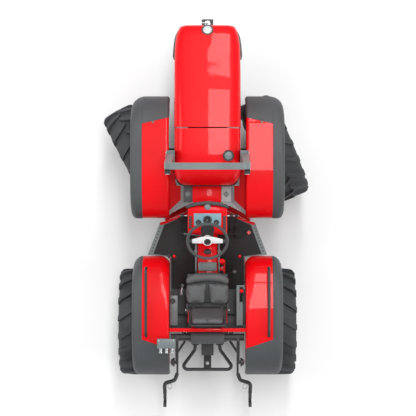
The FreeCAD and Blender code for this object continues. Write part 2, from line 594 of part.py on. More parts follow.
front_fender = fender(FRONT_FENDER_Y, FRONT_FENDER_Z, FENDER_OUT, 110.0, 45.0)
front_paint, front_band = split(front_fender, FRONT_FENDER_Y[0], -738.0, -688.0, 60.0, 61.0)
rear_fender = fender(REAR_FENDER_Y, REAR_FENDER_Z, REAR_FENDER_OUT, 90.0, 60.0)
rear_well = rod(V(200, REAR_AXLE_Y, AXLE_Z), V(800, REAR_AXLE_Y, AXLE_Z), TYRE_R + WELL_GAP)
rear_fender = rear_fender.cut(rear_well)
rear_paint, rear_band = split(rear_fender, REAR_FENDER_Y[1], REAR_AXLE_Y + 170, REAR_AXLE_Y + 100,
                              REAR_FENDER_Y[0] - 17, REAR_FENDER_Y[0] - 18)
node("front_fender_bands", *pair(front_band))
node("rear_fender_bands", *pair(rear_band))

# Inner mudguard: a sloping plate from the fender's inner edge down to the rear.
GUARD_IN = 199.0
GUARD_T = 5.0
guard_slope = [(-384.0, 880.0), (32.0, 700.0), (32.0, 700.0 - GUARD_T), (-384.0, 880.0 - GUARD_T)]
guard = prism_x(guard_slope, GUARD_IN, 330.0)
beside = COVER_HALF + 3
behind = COVER_REAR_Y + 6
guard_plan = prism_z([(beside, -384), (FENDER_IN - 1, -384), (FENDER_IN - 1, -60), (330, -60),
                      (330, 32), (GUARD_IN, -88), (GUARD_IN, behind), (beside, behind)], 500, 1000)
guard = guard.common(guard_plan).cut(front_fender)
guard_side = box(beside, beside + GUARD_T, -384, -300, 560, 890)
guard_side = guard_side.common(prism_x([(-384, 878), (-300, 841), (-300, 560), (-384, 560)], 100, 300))
node("front_fenders", *pair(front_paint), *pair(guard.fuse(guard_side)))

TUNNEL_Y = (-212.0, -96.0)
tunnel = box(-184, 184, *TUNNEL_Y, 600, 835).cut(box(-178, 178, TUNNEL_Y[0] - 9, TUNNEL_Y[1] - 6, 590, 829))
tunnel_foot = box(120, 184, TUNNEL_Y[0], TUNNEL_Y[0] + 22, FRAME_Z[1], 640)
node("tunnel_cover", fuse(tunnel, tunnel_foot, mirrored(tunnel_foot)))

# ---------------------------------------------------------------- rear module
case_step = REAR_AXLE_Y - 170
gear_front = box(-130, 130, -40, case_step, 300, 490)
gear_rear = box(-150, 150, case_step, CASE_REAR_Y, 290, 700)
trumpet = rod(V(140, REAR_AXLE_Y, AXLE_Z), V(REAR_HOUSING_X, REAR_AXLE_Y, AXLE_Z), 72)
nose = rod(V(0, -58, ROLL_Z), V(0, 60, ROLL_Z), 82)
gearbox = fuse(gear_front, gear_rear, trumpet, mirrored(trumpet), nose)
gearbox = gearbox.cut(rod(V(0, -60, ROLL_Z), V(0, 44, ROLL_Z), ROLL_PIN_R + RUN_FIT))
shaft_hole = rod(V(AXLE_SHAFT_IN - 4, REAR_AXLE_Y, AXLE_Z), V(500, REAR_AXLE_Y, AXLE_Z),
                 SPINDLE_R + 5 + RUN_FIT)
gearbox = gearbox.cut(shaft_hole).cut(mirrored(shaft_hole))
pto_hole = rod(V(0, CASE_REAR_Y - 50, PTO_Z), V(0, CASE_REAR_Y + 10, PTO_Z), PTO_JOURNAL_R + RUN_FIT)
rock_hole = rod(V(-400, ROCK_Y, ROCK_Z), V(400, ROCK_Y, ROCK_Z), ROCK_R + RUN_FIT)
rock_case = rod(V(-130, ROCK_Y, ROCK_Z), V(130, ROCK_Y, ROCK_Z), 52)
rock_foot = box(-100, 100, ROCK_Y - 45, ROCK_Y + 45, 690, 770)
link_ears = []
for x in (LINK_PIVOT_X - 26, LINK_PIVOT_X + 14):
    ear = box(x, x + 12, LINK_PIVOT_Y - 40, LINK_PIVOT_Y + 18, LINK_PIVOT_Z - 30, LINK_PIVOT_Z + 30)
    link_ears.append(ear)
bridge = box(130, LINK_PIVOT_X + 26, LINK_PIVOT_Y - 65, LINK_PIVOT_Y - 40,
             LINK_PIVOT_Z - 40, LINK_PIVOT_Z + 40)
ear_pin = rod(V(LINK_PIVOT_X - 40, LINK_PIVOT_Y, LINK_PIVOT_Z),
              V(LINK_PIVOT_X + 34, LINK_PIVOT_Y, LINK_PIVOT_Z), HITCH_PIN_R)
ears = fuse(bridge, *link_ears, ear_pin)
node("gearbox", fuse(gearbox, rock_foot, rock_case, ears, mirrored(ears)).cut(pto_hole).cut(rock_hole))

deck_half = [(0, -20), (150, -20), (336, 66), (380, 78), (476, 333), (300, 352), (300, 614), (0, 614)]
deck = prism_z(deck_half, DECK_Z - DECK_T, DECK_Z)
deck = deck.fuse(mirrored(deck)).removeSplitter()
lip = prism_z([(380, 78), (476, 333), (464, 333), (370, 80)], DECK_Z - 40, DECK_Z - DECK_T)
nose_slot = box(-90, 90, -60, 64, DECK_Z - 40, DECK_Z + 60)
node("platform", fuse(deck, lip, mirrored(lip)).cut(nose_slot))

dash_profile = [(DASH_Y[0] + 60, DECK_Z), (DASH_Y[0], 820), (DASH_Y[0], DASH_TOP - 20),
                (DASH_Y[0] + 40, DASH_TOP), (DASH_Y[1] - 20, DASH_TOP - 50), (DASH_Y[1], DASH_TOP - 90),
                (DASH_Y[1] - 50, DECK_Z)]
dash = prism_x(dash_profile, -DASH_HALF, DASH_HALF)
dash = dash.makeFillet(18, [e for e in dash.Edges if e.BoundBox.XLength < 1 and e.BoundBox.ZMin > 700])
side_cut = prism_z([(96, -200), (96, 300), (400, 300), (400, -200)], 400, 780)
dash = dash.cut(side_cut).cut(mirrored(side_cut)).cut(box(-80, 80, -80, 120, DECK_Z - 5, DECK_Z + 62))
axis = V(0, math.sin(math.radians(WHEEL_TILT)), math.cos(math.radians(WHEEL_TILT)))
hub = V(0, WHEEL_Y, WHEEL_Z)
column_foot = hub - axis * 190
column_top = hub - axis * 46
shroud = rod(column_foot, column_top, 38)
column_hole = rod(hub - axis * 150, hub, COLUMN_R + RUN_FIT)
shroud = shroud.cut(dash).cut(column_hole)
dash = dash.cut(column_hole)
gauge_tilt = math.degrees(math.atan2(50.0, DASH_Y[1] - DASH_Y[0] - 60))
panel = box(-104, 104, DASH_Y[0] + 70, DASH_Y[0] + 165, DASH_TOP - 1, DASH_TOP + 7)
panel = turned(panel, V(0, DASH_Y[0] + 40, DASH_TOP), V(1, 0, 0), -gauge_tilt).cut(dash)
node("gauge_panel", panel, shroud)

grip = Part.makeTorus(WHEEL_R, WHEEL_GRIP_R, hub, axis)
spoke = box(-WHEEL_R, WHEEL_R, -15, 15, -5, 5)
spoke = turned(spoke, V(0, 0, 0), V(1, 0, 0), -WHEEL_TILT)
spoke.translate(hub - axis * 6)
boss = rod(hub - axis * 40, hub + axis * 8, 36)
wheel_stem = rod(hub - axis * 140, hub - axis * 40, COLUMN_R)
node("steering_wheel", fuse(grip, spoke, boss, wheel_stem))


# ---------------------------------------------------------------- pedals and levers
def pedal(x, pad_y, pad_z, pivot_y, pivot_z, half_wide, half_long):
    """Hanging pedal: a boss on a cross pivot, an arm and a sloping pad."""
    boss = rod(V(x - 9, pivot_y, pivot_z), V(x + 9, pivot_y, pivot_z), 14)
    arm = rod(V(x, pivot_y, pivot_z), V(x, pad_y, pad_z), 7)
    pad = box(x - half_wide, x + half_wide, pad_y - half_long, pad_y + half_long, pad_z - 4, pad_z + 6)
    bore = rod(V(x - 20, pivot_y, pivot_z), V(x + 20, pivot_y, pivot_z), PEDAL_BAR_R + RUN_FIT)
    return fuse(boss, arm, turned(pad, V(x, pad_y, pad_z), V(1, 0, 0), -35)).cut(bore)


PEDAL_Y = 20.0
PEDAL_Z = 760.0
PEDAL_BAR_R = 6.0
node("clutch_pedal", pedal(196, 150, 585, PEDAL_Y, PEDAL_Z, 28, 30))
node("brake_pedal_inner", pedal(-186, 105, 585, PEDAL_Y, PEDAL_Z, 18, 30))
node("brake_pedal_outer", pedal(-226, 105, 585, PEDAL_Y, PEDAL_Z, 18, 30))
heel = box(-276, -220, 120, 200, 8, 18)
heel = turned(heel, V(0, 196, 8), V(1, 0, 0), -18)
heel.translate(V(0, 0, DECK_Z + 6))
heel_pin = rod(V(-276, 196, DECK_Z + 14), V(-220, 196, DECK_Z + 14), 6)
node("accelerator_pedal", fuse(heel, heel_pin))
pedal_bar = rod(V(-244, PEDAL_Y, PEDAL_Z), V(214, PEDAL_Y, PEDAL_Z), PEDAL_BAR_R)
bar_lugs = [box(x, x + 8, PEDAL_Y - 16, PEDAL_Y + 16, PEDAL_Z - 16, 800) for x in (90, -98)]
node("dashboard", fuse(dash, pedal_bar, *bar_lugs))


def ball(centre, radius):
    """Sphere whose seam lies across, clear of a stick that enters from below."""
    return turned(Part.makeSphere(radius, centre), centre, V(1, 1, 0), 45)


def lever(foot, bends, knob, radius, knob_r, pivot):
    """Bent lever rod with a round boss on its pivot axis and a round knob."""
    points = [foot] + bends + [knob]
    stick = bent_tube(points, radius, 18) if bends else rod(foot, knob, radius)
    boss = rod(foot - pivot * radius * 1.6, foot + pivot * radius * 1.6, radius * 2)
    return fuse(stick, boss, ball(knob, knob_r))


console = prism_x([(170, DECK_Z), (170, 600), (250, 690), (455, 720), (614, 720), (614, DECK_Z)], -78, 78)
shelf = box(-140, -78, 370, 520, 560, 618)
shelf = shelf.cut(box(-134, -102, 380, 420, 590, 620)).cut(box(-134, -102, 460, 500, 590, 620))
console = console.fuse(shelf)
ribbed = box(-72, 72, 384, 450, 712, 768)
console = console.fuse(ribbed)
node("console", console)
node("gear_lever", lever(V(-118, 400, 634), [V(-118, 400, 760)], V(-112, 372, 850), 7, 21, ACROSS))
node("range_lever", lever(V(-118, 480, 634), [V(-150, 480, 700)], V(-212, 456, 800), 6, 17, ACROSS))
stalk_foot = hub - axis * 80 + V(50, 0, 0)
node("shuttle_lever", lever(stalk_foot, [], stalk_foot + V(128, -16, 30), 5, 11, axis))
node("hand_brake_lever", lever(V(208, 640, 600), [V(208, 640, 760)], V(194, 560, 860), 7, 13, ACROSS))
node("lift_lever", lever(V(-262, 640, 700), [V(-262, 640, 820)], V(-262, 600, 905), 6, 15, ACROSS))

# ---------------------------------------------------------------- seat
seat_stand = box(-130, 130, 500, 740, 724, 742)
rail_bar = box(-124, -100, 492, 748, 742, 757.5)
node("seat_base", fuse(box(-140, 140, 616, 740, 702, 724), seat_stand, rail_bar, mirrored(rail_bar)))
slider = box(-150, 150, 520, 730, 758, 768)
for x in (-134, 128):
    slider = slider.fuse(box(x, x + 6, 524, 728, 746, 758))
hinge_plate = box(152, 164, 700, 772, 758, 842)
hinge_link = box(140, 164, 700, 728, 758, 768)
side = fuse(hinge_plate, hinge_link)
BACK_PIVOT = V(0, 752, 822)
pivot_stub = rod(V(146, BACK_PIVOT.y, BACK_PIVOT.z), V(164, BACK_PIVOT.y, BACK_PIVOT.z), 9)
node("seat_slide", fuse(slider, side, mirrored(side), pivot_stub, mirrored(pivot_stub)))
cushion = box(-SEAT_HALF, SEAT_HALF, SEAT_Y[0], SEAT_Y[1] - 48, *SEAT_Z)
cushion = cushion.makeFillet(22, [e for e in cushion.Edges if e.BoundBox.ZMin > SEAT_Z[0] + 1])
node("seat_cushion", cushion)
back_profile = [(724, 862), (728, 830), (786, 800), (800, 850), (852, BACK_TOP), (800, BACK_TOP)]
back = prism_x(back_profile, -144, 144)
back = back.makeFillet(16, [e for e in back.Edges if e.BoundBox.ZMin > BACK_TOP - 1])
node("seat_back", back.cut(rod(V(-200, BACK_PIVOT.y, BACK_PIVOT.z), V(200, BACK_PIVOT.y, BACK_PIVOT.z), 9.3)))

# ---------------------------------------------------------------- rear fenders, bars and panels
inner_side = box(FENDER_IN, FENDER_IN + 5, 352, 1180, DECK_Z, 900)
side_profile = arch_face(FENDER_IN - 1, REAR_FENDER_Y, REAR_FENDER_Z, FENDER_SKIN)
inner_side = inner_side.common(side_profile.extrude(V(20, 0, 0)))
low_side = box(FENDER_IN, FENDER_IN + 5, 352, 760, DECK_Z, 642)
housing_hole = rod(V(200, REAR_AXLE_Y, AXLE_Z), V(400, REAR_AXLE_Y, AXLE_Z), 90)
rear_paint = fuse(rear_paint, inner_side, low_side.cut(housing_hole))
bar_x = 471.0
grab = bent_tube([V(bar_x, 420, 925), V(bar_x, 420, 1005), V(bar_x, 940, 1005), V(bar_x, 940, 935)],
                 11, 40)
grab = grab.cut(rear_fender)
grab = max(grab.Solids, key=lambda solid: solid.Volume)
node("grab_bars", *pair(grab))
CROSS_Y = (885.0, 912.0)
cross_bar = box(-FENDER_IN + 1, FENDER_IN - 1, *CROSS_Y, 910, 937)
leg = box(100, 126, *CROSS_Y, 700, 910)
node("rear_fenders", *pair(rear_paint), fuse(cross_bar, leg, mirrored(leg)))
quadrant = box(232, 290, 640, 872, 800, 812)
quadrant = quadrant.cut(box(248, 276, 660, 700, 790, 820))
wall = box(284, 290, 640, 872, 700, 800)
left_quadrant = quadrant.fuse(wall)
right_quadrant = fuse(box(-290, -226, 560, 872, 800, 812).cut(box(-272, -252, 575, 690, 790, 820)),
                      box(-290, -284, 560, 872, 700, 800))
valve = box(243, 385, 959, 1033, REAR_FENDER_Z[1] + 2, REAR_FENDER_Z[1] + 58)
for k in range(3):
    coupler = V(270 + 44 * k, 1033, REAR_FENDER_Z[1] + 32)
    valve = valve.fuse(rod(coupler, coupler + V(0, 38, 0), 15))
node("side_panels", left_quadrant, right_quadrant, valve)

guard_bow = bent_tube([V(95, CASE_REAR_Y + 23, 690), V(100, CASE_REAR_Y + 65, 690),
                       V(214, CASE_REAR_Y + 227, 610), V(0, CASE_REAR_Y + 227, 600)], 13, 34)
half_guard = guard_bow.common(box(0, 400, CASE_REAR_Y - 50, CASE_REAR_Y + 400, 400, 900))
ring_eye = rod(V(95, CASE_REAR_Y + 2, 690), V(95, CASE_REAR_Y + 24, 690), 28)
right_half = mirrored(half_guard)
node("guard_tube", fuse(half_guard, right_half, ring_eye, mirrored(ring_eye)))

# ---------------------------------------------------------------- lift linkage and drive
rock_shaft = rod(V(-LIFT_X - 14, ROCK_Y, ROCK_Z), V(LIFT_X + 14, ROCK_Y, ROCK_Z), ROCK_R)
lift_arm = prism_x([(ROCK_Y - 20, ROCK_Z - 34), (ROCK_Y - 20, ROCK_Z + 34), (ROCK_Y + 30, ROCK_Z + 36),
                    (LIFT_END_Y + 16, LIFT_END_Z + 14), (LIFT_END_Y + 16, LIFT_END_Z - 14),
                    (ROCK_Y + 30, ROCK_Z - 36)], LIFT_X - 46, LIFT_X - 22)
arm_pin = rod(V(LIFT_X - 30, LIFT_END_Y, LIFT_END_Z), V(LIFT_X + 16, LIFT_END_Y, LIFT_END_Z), 10)
node("lift_arms", fuse(rock_shaft, lift_arm, mirrored(lift_arm), arm_pin, mirrored(arm_pin)))

top = V(LIFT_X, LIFT_END_Y, LIFT_END_Z)
foot = V(LIFT_X, ROD_PIN_Y, LINK_PIVOT_Z + 14)
top_eye = rod(top - V(11, 0, 0), top + V(11, 0, 0), 24)
foot_eye = rod(foot - V(8, 0, 0), foot + V(8, 0, 0), 34)
rod_stem = rod(top, foot, 11)
sleeve = rod(top * 0.62 + foot * 0.38, top * 0.3 + foot * 0.7, 19)
lift_rod = fuse(top_eye, foot_eye, rod_stem, sleeve)
lift_rod = lift_rod.cut(rod(top - V(30, 0, 0), top + V(30, 0, 0), 10 + RUN_FIT))
lift_rod = lift_rod.cut(rod(foot - V(30, 0, 0), foot + V(30, 0, 0), HITCH_PIN_R + ROD_PIN_PLAY))
node("lift_rods", *pair(lift_rod))

inner_x = LINK_PIVOT_X + 2
eye = rod(V(inner_x - 9, LINK_PIVOT_Y, LINK_PIVOT_Z), V(inner_x + 9, LINK_PIVOT_Y, LINK_PIVOT_Z), 24)
bar = prism_z([(inner_x - 8, LINK_PIVOT_Y), (inner_x + 8, LINK_PIVOT_Y), (inner_x + 8, LINK_PIVOT_Y + 43),
               (250, LINK_PIVOT_Y + 135), (250, LINK_PIVOT_Y + 315), (238, LINK_PIVOT_Y + 325),
               (234, LINK_PIVOT_Y + 315), (234, LINK_PIVOT_Y + 141), (inner_x - 8, LINK_PIVOT_Y + 51)],
              LINK_PIVOT_Z - 6, LINK_PIVOT_Z + 32)
rod_pin = rod(V(240, ROD_PIN_Y, LINK_PIVOT_Z + 14), V(LIFT_X + 14, ROD_PIN_Y, LINK_PIVOT_Z + 14),
              HITCH_PIN_R)
horn = bent_tube([V(243, LINK_END_Y - 210, LINK_PIVOT_Z + 13), V(262, LINK_END_Y - 155, LINK_PIVOT_Z + 18),
                  V(LINK_END_X + 4.5, LINK_END_Y - 132, LINK_END_Z), V(LINK_END_X, LINK_END_Y - 50, LINK_END_Z)],
                 15, 30)
claw = box(LINK_END_X - 12, LINK_END_X + 12, LINK_END_Y - 60, HOOK_REAR_Y, LINK_END_Z - 44, LINK_END_Z + 44)
seat_hole = rod(V(300, LINK_END_Y, LINK_END_Z + 4), V(400, LINK_END_Y, LINK_END_Z + 4), HITCH_PIN_R * 2)
mouth = box(300, 400, LINK_END_Y - 18, LINK_END_Y + 18, LINK_END_Z + 4, LINK_END_Z + 60)
claw = claw.cut(seat_hole).cut(mouth)
link = fuse(eye, bar, rod_pin, horn, claw)
link = link.cut(rod(V(100, LINK_PIVOT_Y, LINK_PIVOT_Z), V(240, LINK_PIVOT_Y, LINK_PIVOT_Z),
                    HITCH_PIN_R + RUN_FIT))
node("lower_links", *pair(link))

stub_start = CASE_REAR_Y + 4
shank_end = stub_start + PTO_SHANK
stub_end = stub_start + PTO_OUT
shank = rod(V(0, stub_start, PTO_Z), V(0, shank_end, PTO_Z), PTO_R)
spline_r = PTO_R - PTO_RELIEF
splines = rod(V(0, shank_end, PTO_Z), V(0, stub_end, PTO_Z), spline_r)
for k in range(PTO_SPLINES):
    angle = 2 * math.pi * k / PTO_SPLINES
    across = V(spline_r * math.cos(angle), 0, spline_r * math.sin(angle))
    groove = rod(V(0, shank_end, PTO_Z) + across, V(0, stub_end + 5, PTO_Z) + across, GROOVE_R)
    splines = splines.cut(groove)
journal = rod(V(0, CASE_REAR_Y - 48, PTO_Z), V(0, stub_start, PTO_Z), PTO_JOURNAL_R)
node("pto_shaft", fuse(shank, splines, journal))
shield = box(-48, 48, CASE_REAR_Y + 1, CASE_REAR_Y + 112, 500, 640)
shield = shield.cut(box(-43, 43, CASE_REAR_Y, CASE_REAR_Y + 120, 480, 634))
DRAWBAR_PIN_Y = CASE_REAR_Y + 205
drawbar = box(-30, 30, CASE_REAR_Y + 1, DRAWBAR_PIN_Y + 35, 340, 366)
drawbar = drawbar.fuse(box(-70, 70, CASE_REAR_Y + 1, CASE_REAR_Y + 20, 320, 420))
node("drawbar", drawbar.cut(rod(V(0, DRAWBAR_PIN_Y, 300), V(0, DRAWBAR_PIN_Y, 400), DRAWBAR_HOLE_R)),
     shield)
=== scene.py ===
import json
import math
import bmesh
import bpy
from mathutils import Matrix, Vector


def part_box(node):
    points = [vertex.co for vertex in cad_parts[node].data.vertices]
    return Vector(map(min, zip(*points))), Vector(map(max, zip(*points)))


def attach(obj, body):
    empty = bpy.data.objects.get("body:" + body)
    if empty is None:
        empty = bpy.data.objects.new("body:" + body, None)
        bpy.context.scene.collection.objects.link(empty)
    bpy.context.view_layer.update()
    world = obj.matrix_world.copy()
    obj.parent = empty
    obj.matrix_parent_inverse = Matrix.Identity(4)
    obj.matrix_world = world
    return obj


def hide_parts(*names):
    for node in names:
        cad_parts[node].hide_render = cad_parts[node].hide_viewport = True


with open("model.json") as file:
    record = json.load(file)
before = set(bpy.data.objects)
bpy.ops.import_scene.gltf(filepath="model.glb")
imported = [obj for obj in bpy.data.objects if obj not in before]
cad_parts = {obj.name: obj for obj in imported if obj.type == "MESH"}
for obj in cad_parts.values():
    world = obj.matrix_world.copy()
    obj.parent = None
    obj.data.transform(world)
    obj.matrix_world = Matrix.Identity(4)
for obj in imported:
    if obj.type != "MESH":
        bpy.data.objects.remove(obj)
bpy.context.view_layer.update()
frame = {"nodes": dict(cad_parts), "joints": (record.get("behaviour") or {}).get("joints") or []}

CAD = frame["nodes"]

# ---- Studio ------------------------------------------------------------------------------
# A pale floor, a soft sky and one long soft box beside the camera, which looks straight
# down on the tractor from 12 m with the nose at the top of the view.
CAMERA_AT = (-0.004, -0.040, 12.0)
camera_data = bpy.data.cameras.new("camera")
camera_data.lens = 124.6
camera_data.clip_end = 100
camera = bpy.data.objects.new("camera", camera_data)
camera.location = CAMERA_AT
camera.rotation_euler = (0, 0, math.pi)
bpy.context.scene.collection.objects.link(camera)
bpy.context.scene.camera = camera


def node_of(material, kind, **values):
    """A new shader node with its settings or unlinked inputs given by name."""
    node = material.node_tree.nodes.new("ShaderNode" + kind)
    for key, value in values.items():
        if hasattr(node, key):
            setattr(node, key, value)
        else:
            node.inputs[key.replace("_", " ")].default_value = value
    return node


def floor_finish():
    """Matt white studio floor with a very faint mottle."""
    made = bpy.data.materials.new("studio_floor")
    made.use_nodes = True
    shader = made.node_tree.nodes["Principled BSDF"]
    shader.inputs["Roughness"].default_value = 0.9
    shader.inputs["Specular IOR Level"].default_value = 0.1
    mottle = node_of(made, "TexNoise", Scale=1.5)
    ramp = node_of(made, "ValToRGB")
    ramp.color_ramp.elements[0].color = (0.93, 0.93, 0.93, 1)
    ramp.color_ramp.elements[1].color = (0.96, 0.96, 0.96, 1)
    made.node_tree.links.new(mottle.outputs["Fac"], ramp.inputs["Fac"])
    made.node_tree.links.new(ramp.outputs["Color"], shader.inputs["Base Color"])
    return made


bpy.ops.mesh.primitive_plane_add(size=60)
floor = bpy.context.object
floor.name = "floor"
floor.data.materials.append(floor_finish())

world = bpy.data.worlds.new("studio")
bpy.context.scene.world = world
world.use_nodes = True
world.node_tree.nodes["Background"].inputs["Color"].default_value = (1, 1, 1, 1)
world.node_tree.nodes["Background"].inputs["Strength"].default_value = 0.56
bpy.context.scene.view_settings.view_transform = "Standard"


def soft_box(name, at, aim, size, power):
    """Rectangular soft light at one point, aimed at another."""
    data = bpy.data.lights.new(name, "AREA")
    data.shape = "RECTANGLE"
    data.size = size[0]
    data.size_y = size[1]
    data.energy = power
    lamp = bpy.data.objects.new(name, data)
    lamp.location = at
    lamp.rotation_euler = (Vector(aim) - Vector(at)).to_track_quat("-Z", "Y").to_euler()
    bpy.context.scene.collection.objects.link(lamp)


soft_box("long_box", (-1.0, -3.8, 14.5), (-1.0, -3.8, 0), (1.9, 9.0), 700)
soft_box("front_box", (-1.1, -11.6, 12.0), (-0.4, -1.2, 1.1), (1.9, 6.5), 520)
soft_box("left_wash", (6.5, -2.0, 7.5), (0, 0, 0.6), (5, 5), 260)
soft_box("right_wash", (-6.5, 1.5, 6.5), (0, 0, 0.6), (4, 5), 190)


# ---- Tyres -------------------------------------------------------------------------------
# Four black bar-tread tyres of one size. The casing is a moulded ring, and two rows of
# slanting bars, half a pitch apart, meet near the middle and point forward at the top.
def finish(name, colour, rough=0.5, metallic=0.0, coat=0.0, grain=400.0, bump=0.1, drift=0.12,
           worn=0.0, worn_colour=(0.5, 0.5, 0.5), patch=6.0, edge=0.003, specular=0.5):
    """Paint, plastic or metal with colour drift, roughness drift, grain and wear along edges."""
    made = bpy.data.materials.new(name)
    made.use_nodes = True
    link = made.node_tree.links.new
    shader = made.node_tree.nodes["Principled BSDF"]
    shader.inputs["Metallic"].default_value = metallic
    shader.inputs["Coat Weight"].default_value = coat
    shader.inputs["Coat Roughness"].default_value = 0.03
    shader.inputs["Specular IOR Level"].default_value = specular
    place = node_of(made, "TexCoord")
    cloud = node_of(made, "TexNoise", Scale=patch, Detail=4.0)
    link(place.outputs["Object"], cloud.inputs["Vector"])
    tone = node_of(made, "ValToRGB")
    dark = [c * (1 - drift) for c in colour]
    light = [min(1, c * (1 + drift)) for c in colour]
    tone.color_ramp.elements[0].position = 0.3
    tone.color_ramp.elements[1].position = 0.7
    tone.color_ramp.elements[0].color = (*dark, 1)
    tone.color_ramp.elements[1].color = (*light, 1)
    link(cloud.outputs["Fac"], tone.inputs["Fac"])
    rub = node_of(made, "MapRange", From_Min=0.3, From_Max=0.7, To_Min=rough * 0.88,
                  To_Max=min(1, rough * 1.14))
    link(cloud.outputs["Fac"], rub.inputs["Value"])
    link(rub.outputs["Result"], shader.inputs["Roughness"])
    grit = node_of(made, "TexNoise", Scale=grain, Detail=3.0)
    link(place.outputs["Object"], grit.inputs["Vector"])
    round_off = node_of(made, "Bevel", samples=4, Radius=edge)
    relief = node_of(made, "Bump", Strength=bump, Distance=0.001)
    link(grit.outputs["Fac"], relief.inputs["Height"])
    link(round_off.outputs["Normal"], relief.inputs["Normal"])
    link(relief.outputs["Normal"], shader.inputs["Normal"])
    if worn <= 0:
        link(tone.outputs["Color"], shader.inputs["Base Color"])
        return made
    shape = node_of(made, "NewGeometry")
    bend = node_of(made, "VectorMath", operation="DOT_PRODUCT")
    link(round_off.outputs["Normal"], bend.inputs[0])
    link(shape.outputs["Normal"], bend.inputs[1])
    mask = node_of(made, "MapRange", From_Min=0.97, From_Max=0.86, To_Min=0.0, To_Max=worn)
    link(bend.outputs["Value"], mask.inputs["Value"])
    broken = node_of(made, "Math", operation="MULTIPLY")
    link(mask.outputs["Result"], broken.inputs[0])
    link(cloud.outputs["Fac"], broken.inputs[1])
    mix = node_of(made, "Mix", data_type="RGBA")
    link(broken.outputs["Value"], mix.inputs["Factor"])
    link(tone.outputs["Color"], mix.inputs[6])
    mix.inputs[7].default_value = (*worn_colour, 1)
    link(mix.outputs[2], shader.inputs["Base Color"])
    return made


def finish_cad(name, material):
    """A CAD piece whose shape is already right gets its real finish."""
    mesh = CAD[name].data
    mesh.materials.clear()
    mesh.materials.append(material)


def build(name, verts, faces, material, body, slot, nodes=(), sharp=38):
    """A piece made of points and faces: welded, wound outward, smooth but for its sharp edges."""
    mesh = bpy.data.meshes.new(name)
    mesh.from_pydata([tuple(v) for v in verts], [], faces)
    work = bmesh.new()
    work.from_mesh(mesh)
    bmesh.ops.remove_doubles(work, verts=work.verts, dist=0.00005)
    bmesh.ops.recalc_face_normals(work, faces=work.faces)
    work.to_mesh(mesh)
    work.free()
    mesh.shade_smooth()
    mesh.set_sharp_from_angle(angle=math.radians(sharp))
    mesh.materials.append(material)
    made = bpy.data.objects.new(name, mesh)
    bpy.context.scene.collection.objects.link(made)
    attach(made, body)
    if nodes:
        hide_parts(*nodes)
    return made


def apply_all(piece):
    """Replace a piece's mesh by its mesh with every modifier applied."""
    done = piece.evaluated_get(bpy.context.evaluated_depsgraph_get())
    mesh = bpy.data.meshes.new_from_object(done)
    piece.modifiers.clear()
    piece.data = mesh
    return piece


TYRE_LOW, TYRE_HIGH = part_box("rear_tyre_left")
TYRE_RADIUS = (TYRE_HIGH.z - TYRE_LOW.z) / 2
TYRE_HALF = (TYRE_HIGH.x - TYRE_LOW.x) / 2
BARS_EACH_SIDE = 17
RUBBER = finish("tyre_rubber", (0.038, 0.041, 0.045), rough=0.68, grain=350, bump=0.35, drift=0.3,
                worn=0.6, worn_colour=(0.10, 0.105, 0.11), patch=9, edge=0.004)
RIM_PAINT = finish("rim_paint", (0.60, 0.61, 0.61), rough=0.4, grain=500, bump=0.05,
                   worn=0.5, worn_colour=(0.25, 0.24, 0.23))


def casing():
    """Rings of (half width, radius) turned about the X axis."""
    side = [(0.118, 0.2285), (0.121, 0.246), (0.130, 0.262), (0.1385, 0.285), (0.1395, 0.300),
            (0.137, 0.302), (0.138, 0.330), (0.135, 0.352), (0.130, 0.354), (0.126, 0.372),
            (0.112, 0.388), (0.085, 0.396), (0.045, 0.400), (0.0, 0.402)]
    side = [(x * TYRE_HALF / 0.14, r * TYRE_RADIUS / 0.425) for x, r in side]
    rings = side + [(-x, r) for x, r in reversed(side[:-1])]
    around = 96
    verts = []
    for k in range(around):
        turn = 2 * math.pi * k / around
        verts += [(x, r * math.cos(turn), r * math.sin(turn)) for x, r in rings]
    count = len(rings)
    faces = []
    for k in range(around):
        here = k * count
        there = (k + 1) % around * count
        for i in range(count):
            j = (i + 1) % count
            faces.append((here + i, here + j, there + j, there + i))
    return verts, faces


def tread_bar(side, offset):
    """One bar, laid along a curve that leaves the middle steeply and flattens at the shoulder."""
    steps = 9
    verts = []
    for k in range(steps):
        t = k / (steps - 1)
        across = -0.010 + t * (TYRE_HALF + 0.0095)
        back = 0.100 * (t ** 0.82)
        wide = 0.0165 + 0.0045 * t
        top = TYRE_RADIUS - 0.006 * t ** 2 - 0.026 * max(0, t - 0.84) / 0.16
        foot = top - 0.036
        for shift, radius in ((-wide - 0.006, foot), (-wide, top), (wide, top), (wide + 0.006, foot)):
            turn = (back + shift + offset) / TYRE_RADIUS
            verts.append((side * across, radius * math.sin(turn), radius * math.cos(turn)))
    faces = [(0, 1, 2, 3), tuple(4 * (steps - 1) + i for i in (3, 2, 1, 0))]
    for k in range(steps - 1):
        for i in range(4):
            j = (i + 1) % 4
            faces.append((4 * k + i, 4 * k + j, 4 * k + 4 + j, 4 * k + 4 + i))
    return verts, faces


def joined(*parts):
    """Several (points, faces) shells as one."""
    verts = []
    faces = []
    for points, polygons in parts:
        start = len(verts)
        verts += points
        faces += [tuple(i + start for i in polygon) for polygon in polygons]
    return verts, faces


def new_tree(name, inputs):
    """A geometry tree with its named inputs; returns the tree, its input and output nodes."""
    tree = bpy.data.node_groups.new(name, "GeometryNodeTree")
    tree.interface.new_socket(name="Geometry", in_out="OUTPUT", socket_type="NodeSocketGeometry")
    for label, kind in inputs:
        tree.interface.new_socket(name=label, in_out="INPUT", socket_type="NodeSocket" + kind)
    return tree, tree.nodes.new("NodeGroupInput"), tree.nodes.new("NodeGroupOutput")


